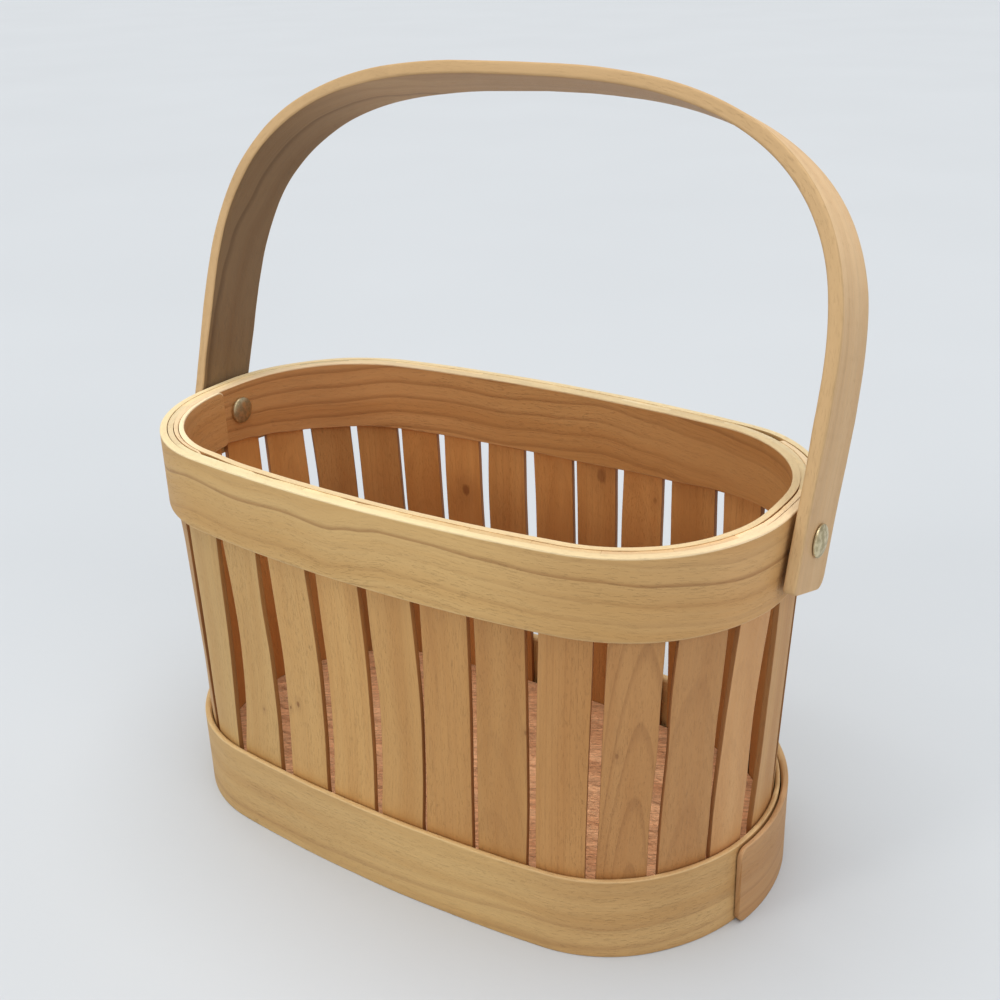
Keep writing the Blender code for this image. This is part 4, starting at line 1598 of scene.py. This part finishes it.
    def saw(
        self, bench: NodeBench, grain: Socket, colour: Socket, height: Socket
    ) -> tuple[Socket, Socket]:
        """Adds the saw's marks.

        Args:
            bench: the material's nodes.
            grain: spots in the log.
            colour: the colour so far.
            height: the relief so far.

        Returns:
            Colour and relief with the marks.
        """
        slant = bench.node("ShaderNodeVectorRotate", rotation_type="Z_AXIS")
        bench.feed(slant.inputs["Vector"], bench.here())
        slant.inputs["Angle"].default_value = -self.saw_turn
        marks = bench.noise(slant.outputs[0], (45.0, 1150.0, 45.0), 3.0, 0.3)
        fuzz = FUZZ.laid(bench, grain)
        mark = bench.sum("ADD", bench.times(marks, 0.7), bench.times(fuzz, 0.3))
        tone = bench.scaled(bench.rise(mark, 0.3, 0.7), 1.0 - self.sawn, 1.0 + self.sawn * 0.6)
        height = bench.sum("ADD", height, bench.times(mark, 2.2))
        return bench.shaded(colour, tone), height

    def spots(self, bench: NodeBench, colour: Socket) -> Socket:
        """Adds the knots and stains.

        Args:
            bench: the material's nodes.
            colour: the colour so far.

        Returns:
            The colour with them.
        """
        here = bench.here()
        ruffle = bench.scaled(bench.noise(here, (700.0, 700.0, 300.0)), 0.6, 1.5)
        for knot in self.knots:
            off = bench.vector("SUBTRACT", here, knot.place)
            off = bench.vector("MULTIPLY", off, (1.0, 1.0, 0.6))
            far = bench.times(bench.vector("LENGTH", off), ruffle)
            heart = bench.times(bench.rise(far, knot.radius, knot.radius * 0.35), 0.85)
            halo = bench.times(bench.rise(far, knot.radius * 3.0, knot.radius * 0.8), 0.22)
            shade = bench.times(bench.sum("MAXIMUM", heart, halo), knot.strength)
            colour = bench.mix(shade, colour, self.dark)
        return colour


@dataclass(frozen=True)
class AgedBrass:
    """Dull brass with tarnish in its hollows and fine scratches."""

    name: str = "antique brass"
    bright: Colour = (0.70, 0.60, 0.38)
    dull: Colour = (0.46, 0.385, 0.23)
    roughness: tuple[float, float] = (0.34, 0.52)
    relief: float = 0.00003

    def build(self) -> Finish:
        """Makes the material."""
        bench = NodeBench(self.name)
        here = bench.here()
        cloud = bench.noise(here, (420.0, 420.0, 420.0), 3.0)
        speck = bench.noise(here, (2400.0, 2400.0, 2400.0))
        scratch = bench.noise(here, (900.0, 5200.0, 700.0))
        share = bench.rise(bench.sum("ADD", cloud, bench.scaled(speck, -0.12, 0.12)), 0.36, 0.66)
        bench.dress(
            Base_Color=bench.mix(share, self.dull, self.bright),
            Metallic=1.0,
            Roughness=bench.scaled(bench.sum("SUBTRACT", 1.0, share), *self.roughness),
        )
        bench.bump(bench.sum("ADD", bench.times(cloud, 0.5), scratch), self.relief)
        return bench.material


@dataclass(frozen=True)
class Lamp:
    """A broad, far lamp that lights the whole floor evenly.

    Attributes:
        place: the direction that it lights from.
        spread: how wide it looks, in degrees.
    """

    name: str
    place: Colour
    spread: float
    power: float
    colour: Colour

    def build(self) -> None:
        """Hangs the lamp."""
        data = bpy.data.lights.new(self.name, "SUN")
        data.angle = math.radians(self.spread)
        data.energy = self.power
        data.color = self.colour
        obj = bpy.data.objects.new(self.name, data)
        obj.location = self.place
        obj.rotation_mode = "QUATERNION"
        obj.rotation_quaternion = (-Vector(self.place)).to_track_quat("-Z", "Y")
        bpy.context.scene.collection.objects.link(obj)


@dataclass
class Studio:
    """Pale floor, soft lamps and the camera at the photograph's angle.

    Attributes:
        reach: least and greatest distance that it sees.
    """

    floor_colour: Colour = (0.60, 0.635, 0.67)
    floor_half: float = 15.0
    sky: float = 0.45
    sky_colour: Colour = (0.95, 0.97, 1.0)
    focal_pixels: float = 1330.3
    frame_pixels: float = 1000.0
    sensor: float = 36.0
    yaw: float = 0.59815
    pitch: float = 0.41642
    roll: float = -0.03221
    camera_place: Colour = (0.29427, -0.40983, 0.36579)
    reach: tuple[float, float] = (0.01, 100.0)
    lamps: tuple[Lamp, ...] = (
        Lamp("ceiling lamp", (-0.08, 0.0, 1.0), 55.0, 2.15, (1.0, 0.98, 0.95)),
        Lamp("front lamp", (-0.50, -0.85, 0.38), 16.0, 0.60, (1.0, 0.96, 0.90)),
        Lamp("side lamp", (0.85, -0.40, 0.50), 50.0, 0.62, (1.0, 0.97, 0.95)),
    )

    def floor(self) -> None:
        """A wide pale floor, faintly uneven."""
        mesh = bpy.data.meshes.new("floor")
        half = self.floor_half
        corners = [(-half, -half, 0.0), (half, -half, 0.0), (half, half, 0.0), (-half, half, 0.0)]
        mesh.from_pydata(corners, [], [(0, 1, 2, 3)])
        obj = bpy.data.objects.new("floor", mesh)
        bpy.context.scene.collection.objects.link(obj)
        bench = NodeBench("pale floor")
        here = bench.here()
        cloud = bench.noise(here, (3.0, 3.0, 3.0))
        darker = tuple(value * 0.94 for value in self.floor_colour)
        bench.dress(Base_Color=bench.mix(cloud, self.floor_colour, darker), Roughness=0.6)
        bench.bump(bench.noise(here, (160.0, 160.0, 160.0)), 0.0002, 0.4)
        mesh.materials.append(bench.material)

    def world(self) -> None:
        """Even pale light from all round."""
        world = bpy.data.worlds.new("studio")
        bpy.context.scene.world = world
        world.use_nodes = True
        back = world.node_tree.nodes["Background"]
        back.inputs["Color"].default_value = (*self.sky_colour, 1.0)
        back.inputs["Strength"].default_value = self.sky

    def camera(self) -> None:
        """The camera where the photograph was taken from."""
        yaw, pitch, roll = self.yaw, self.pitch, self.roll
        level = math.cos(pitch)
        back = Vector((math.sin(yaw) * level, -math.cos(yaw) * level, math.sin(pitch)))
        right = Vector((0.0, 0.0, 1.0)).cross(back).normalized()
        up = back.cross(right)
        turned_right = math.cos(roll) * right + math.sin(roll) * up
        turned_up = -math.sin(roll) * right + math.cos(roll) * up
        data = bpy.data.cameras.new("camera")
        data.sensor_width = self.sensor
        data.lens = self.sensor * self.focal_pixels / self.frame_pixels
        data.clip_start, data.clip_end = self.reach
        obj = bpy.data.objects.new("camera", data)
        turn = Matrix((turned_right, turned_up, back)).transposed()
        obj.matrix_world = Matrix.Translation(self.camera_place) @ turn.to_4x4()
        bpy.context.scene.collection.objects.link(obj)
        bpy.context.scene.camera = obj

    def build(self) -> None:
        """Sets up floor, lamps and camera."""
        bpy.context.scene.view_settings.view_transform = "Standard"
        self.floor()
        self.world()
        for lamp in self.lamps:
            lamp.build()
        self.camera()
        LOG.info("studio")


RIM_WOOD = BentWood(
    "band wood", (0.595, 0.380, 0.155), (0.525, 0.305, 0.108), (0.27, 0.12, 0.034),
    (0.99, 0.85, 0.54), ring=0.0075, ring_depth=0.36, ring_bend=0.0014, streak=0.07,
    pores=0.035, inner=(1.02, 0.86, 0.76),
)
BASE_WOOD = BentWood(
    "base band wood", (0.585, 0.380, 0.158), (0.500, 0.295, 0.108), (0.27, 0.12, 0.038),
    (0.70, 0.49, 0.24), ring=0.004, ring_depth=0.26, streak=0.13, pores=0.12,
)
SLAT_WOOD = BentWood(
    "slat wood", (0.560, 0.325, 0.125), (0.490, 0.260, 0.090), (0.22, 0.09, 0.027),
    (0.99, 0.85, 0.54), ring=0.0024, ring_depth=0.12, ring_bend=0.0010, streak=0.08,
    pores=0.02, inner=(1.15, 0.98, 0.80),
    knots=(
        Knot((-0.0381, -0.0736, 0.0716), 0.0013), Knot((-0.0428, -0.0733, 0.0684), 0.0008),
        Knot((-0.0597, -0.0721, 0.0613), 0.0008, 0.8), Knot((0.1037, -0.0616, 0.0898), 0.0012, 0.7),
        Knot((0.0711, -0.0706, 0.0937), 0.0010, 0.7), Knot((-0.0522, 0.0699, 0.1103), 0.0030),
        Knot((0.0221, 0.0714, 0.1325), 0.0040, 0.8), Knot((0.0498, 0.0699, 0.1269), 0.0016, 0.7),
    ),
)
BOARD_WOOD = BentWood(
    "board wood", (0.80, 0.46, 0.245), (0.70, 0.36, 0.175), (0.36, 0.15, 0.065),
    (0.70, 0.40, 0.21), sawn=0.35, relief=0.0003, roughness=(0.7, 0.9),
)
HANDLE_WOOD = BentWood(
    "handle wood", (0.67, 0.44, 0.225), (0.59, 0.362, 0.172), (0.27, 0.14, 0.055),
    (0.57, 0.375, 0.175), ring=0.012, ring_depth=0.24, ring_bend=0.0008, streak=0.10,
    pores=0.09, inner=(0.34, 0.315, 0.285),
)


def main() -> None:
    """Builds the basket's looks in order."""
    logging.basicConfig(level=logging.INFO, format="%(name)s: %(message)s")
    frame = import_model()
    shell = Shell.measured()
    low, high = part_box("spacer_right")
    set_back, pivot = (low[1] + high[1]) / 2, (low[2] + high[2]) / 2
    Bands(shell, set_back).build(RIM_WOOD.build(), BASE_WOOD.build())
    Slats(shell).build(SLAT_WOOD.build())
    BaseBoard(shell).build(BOARD_WOOD.build())
    Handle(set_back, pivot, high[0] + shell.gap).build(HANDLE_WOOD.build())
    Fastenings(set_back, pivot, frame["nodes"]).build(AgedBrass().build())
    Studio().build()


if __name__ == "__main__":
    main()
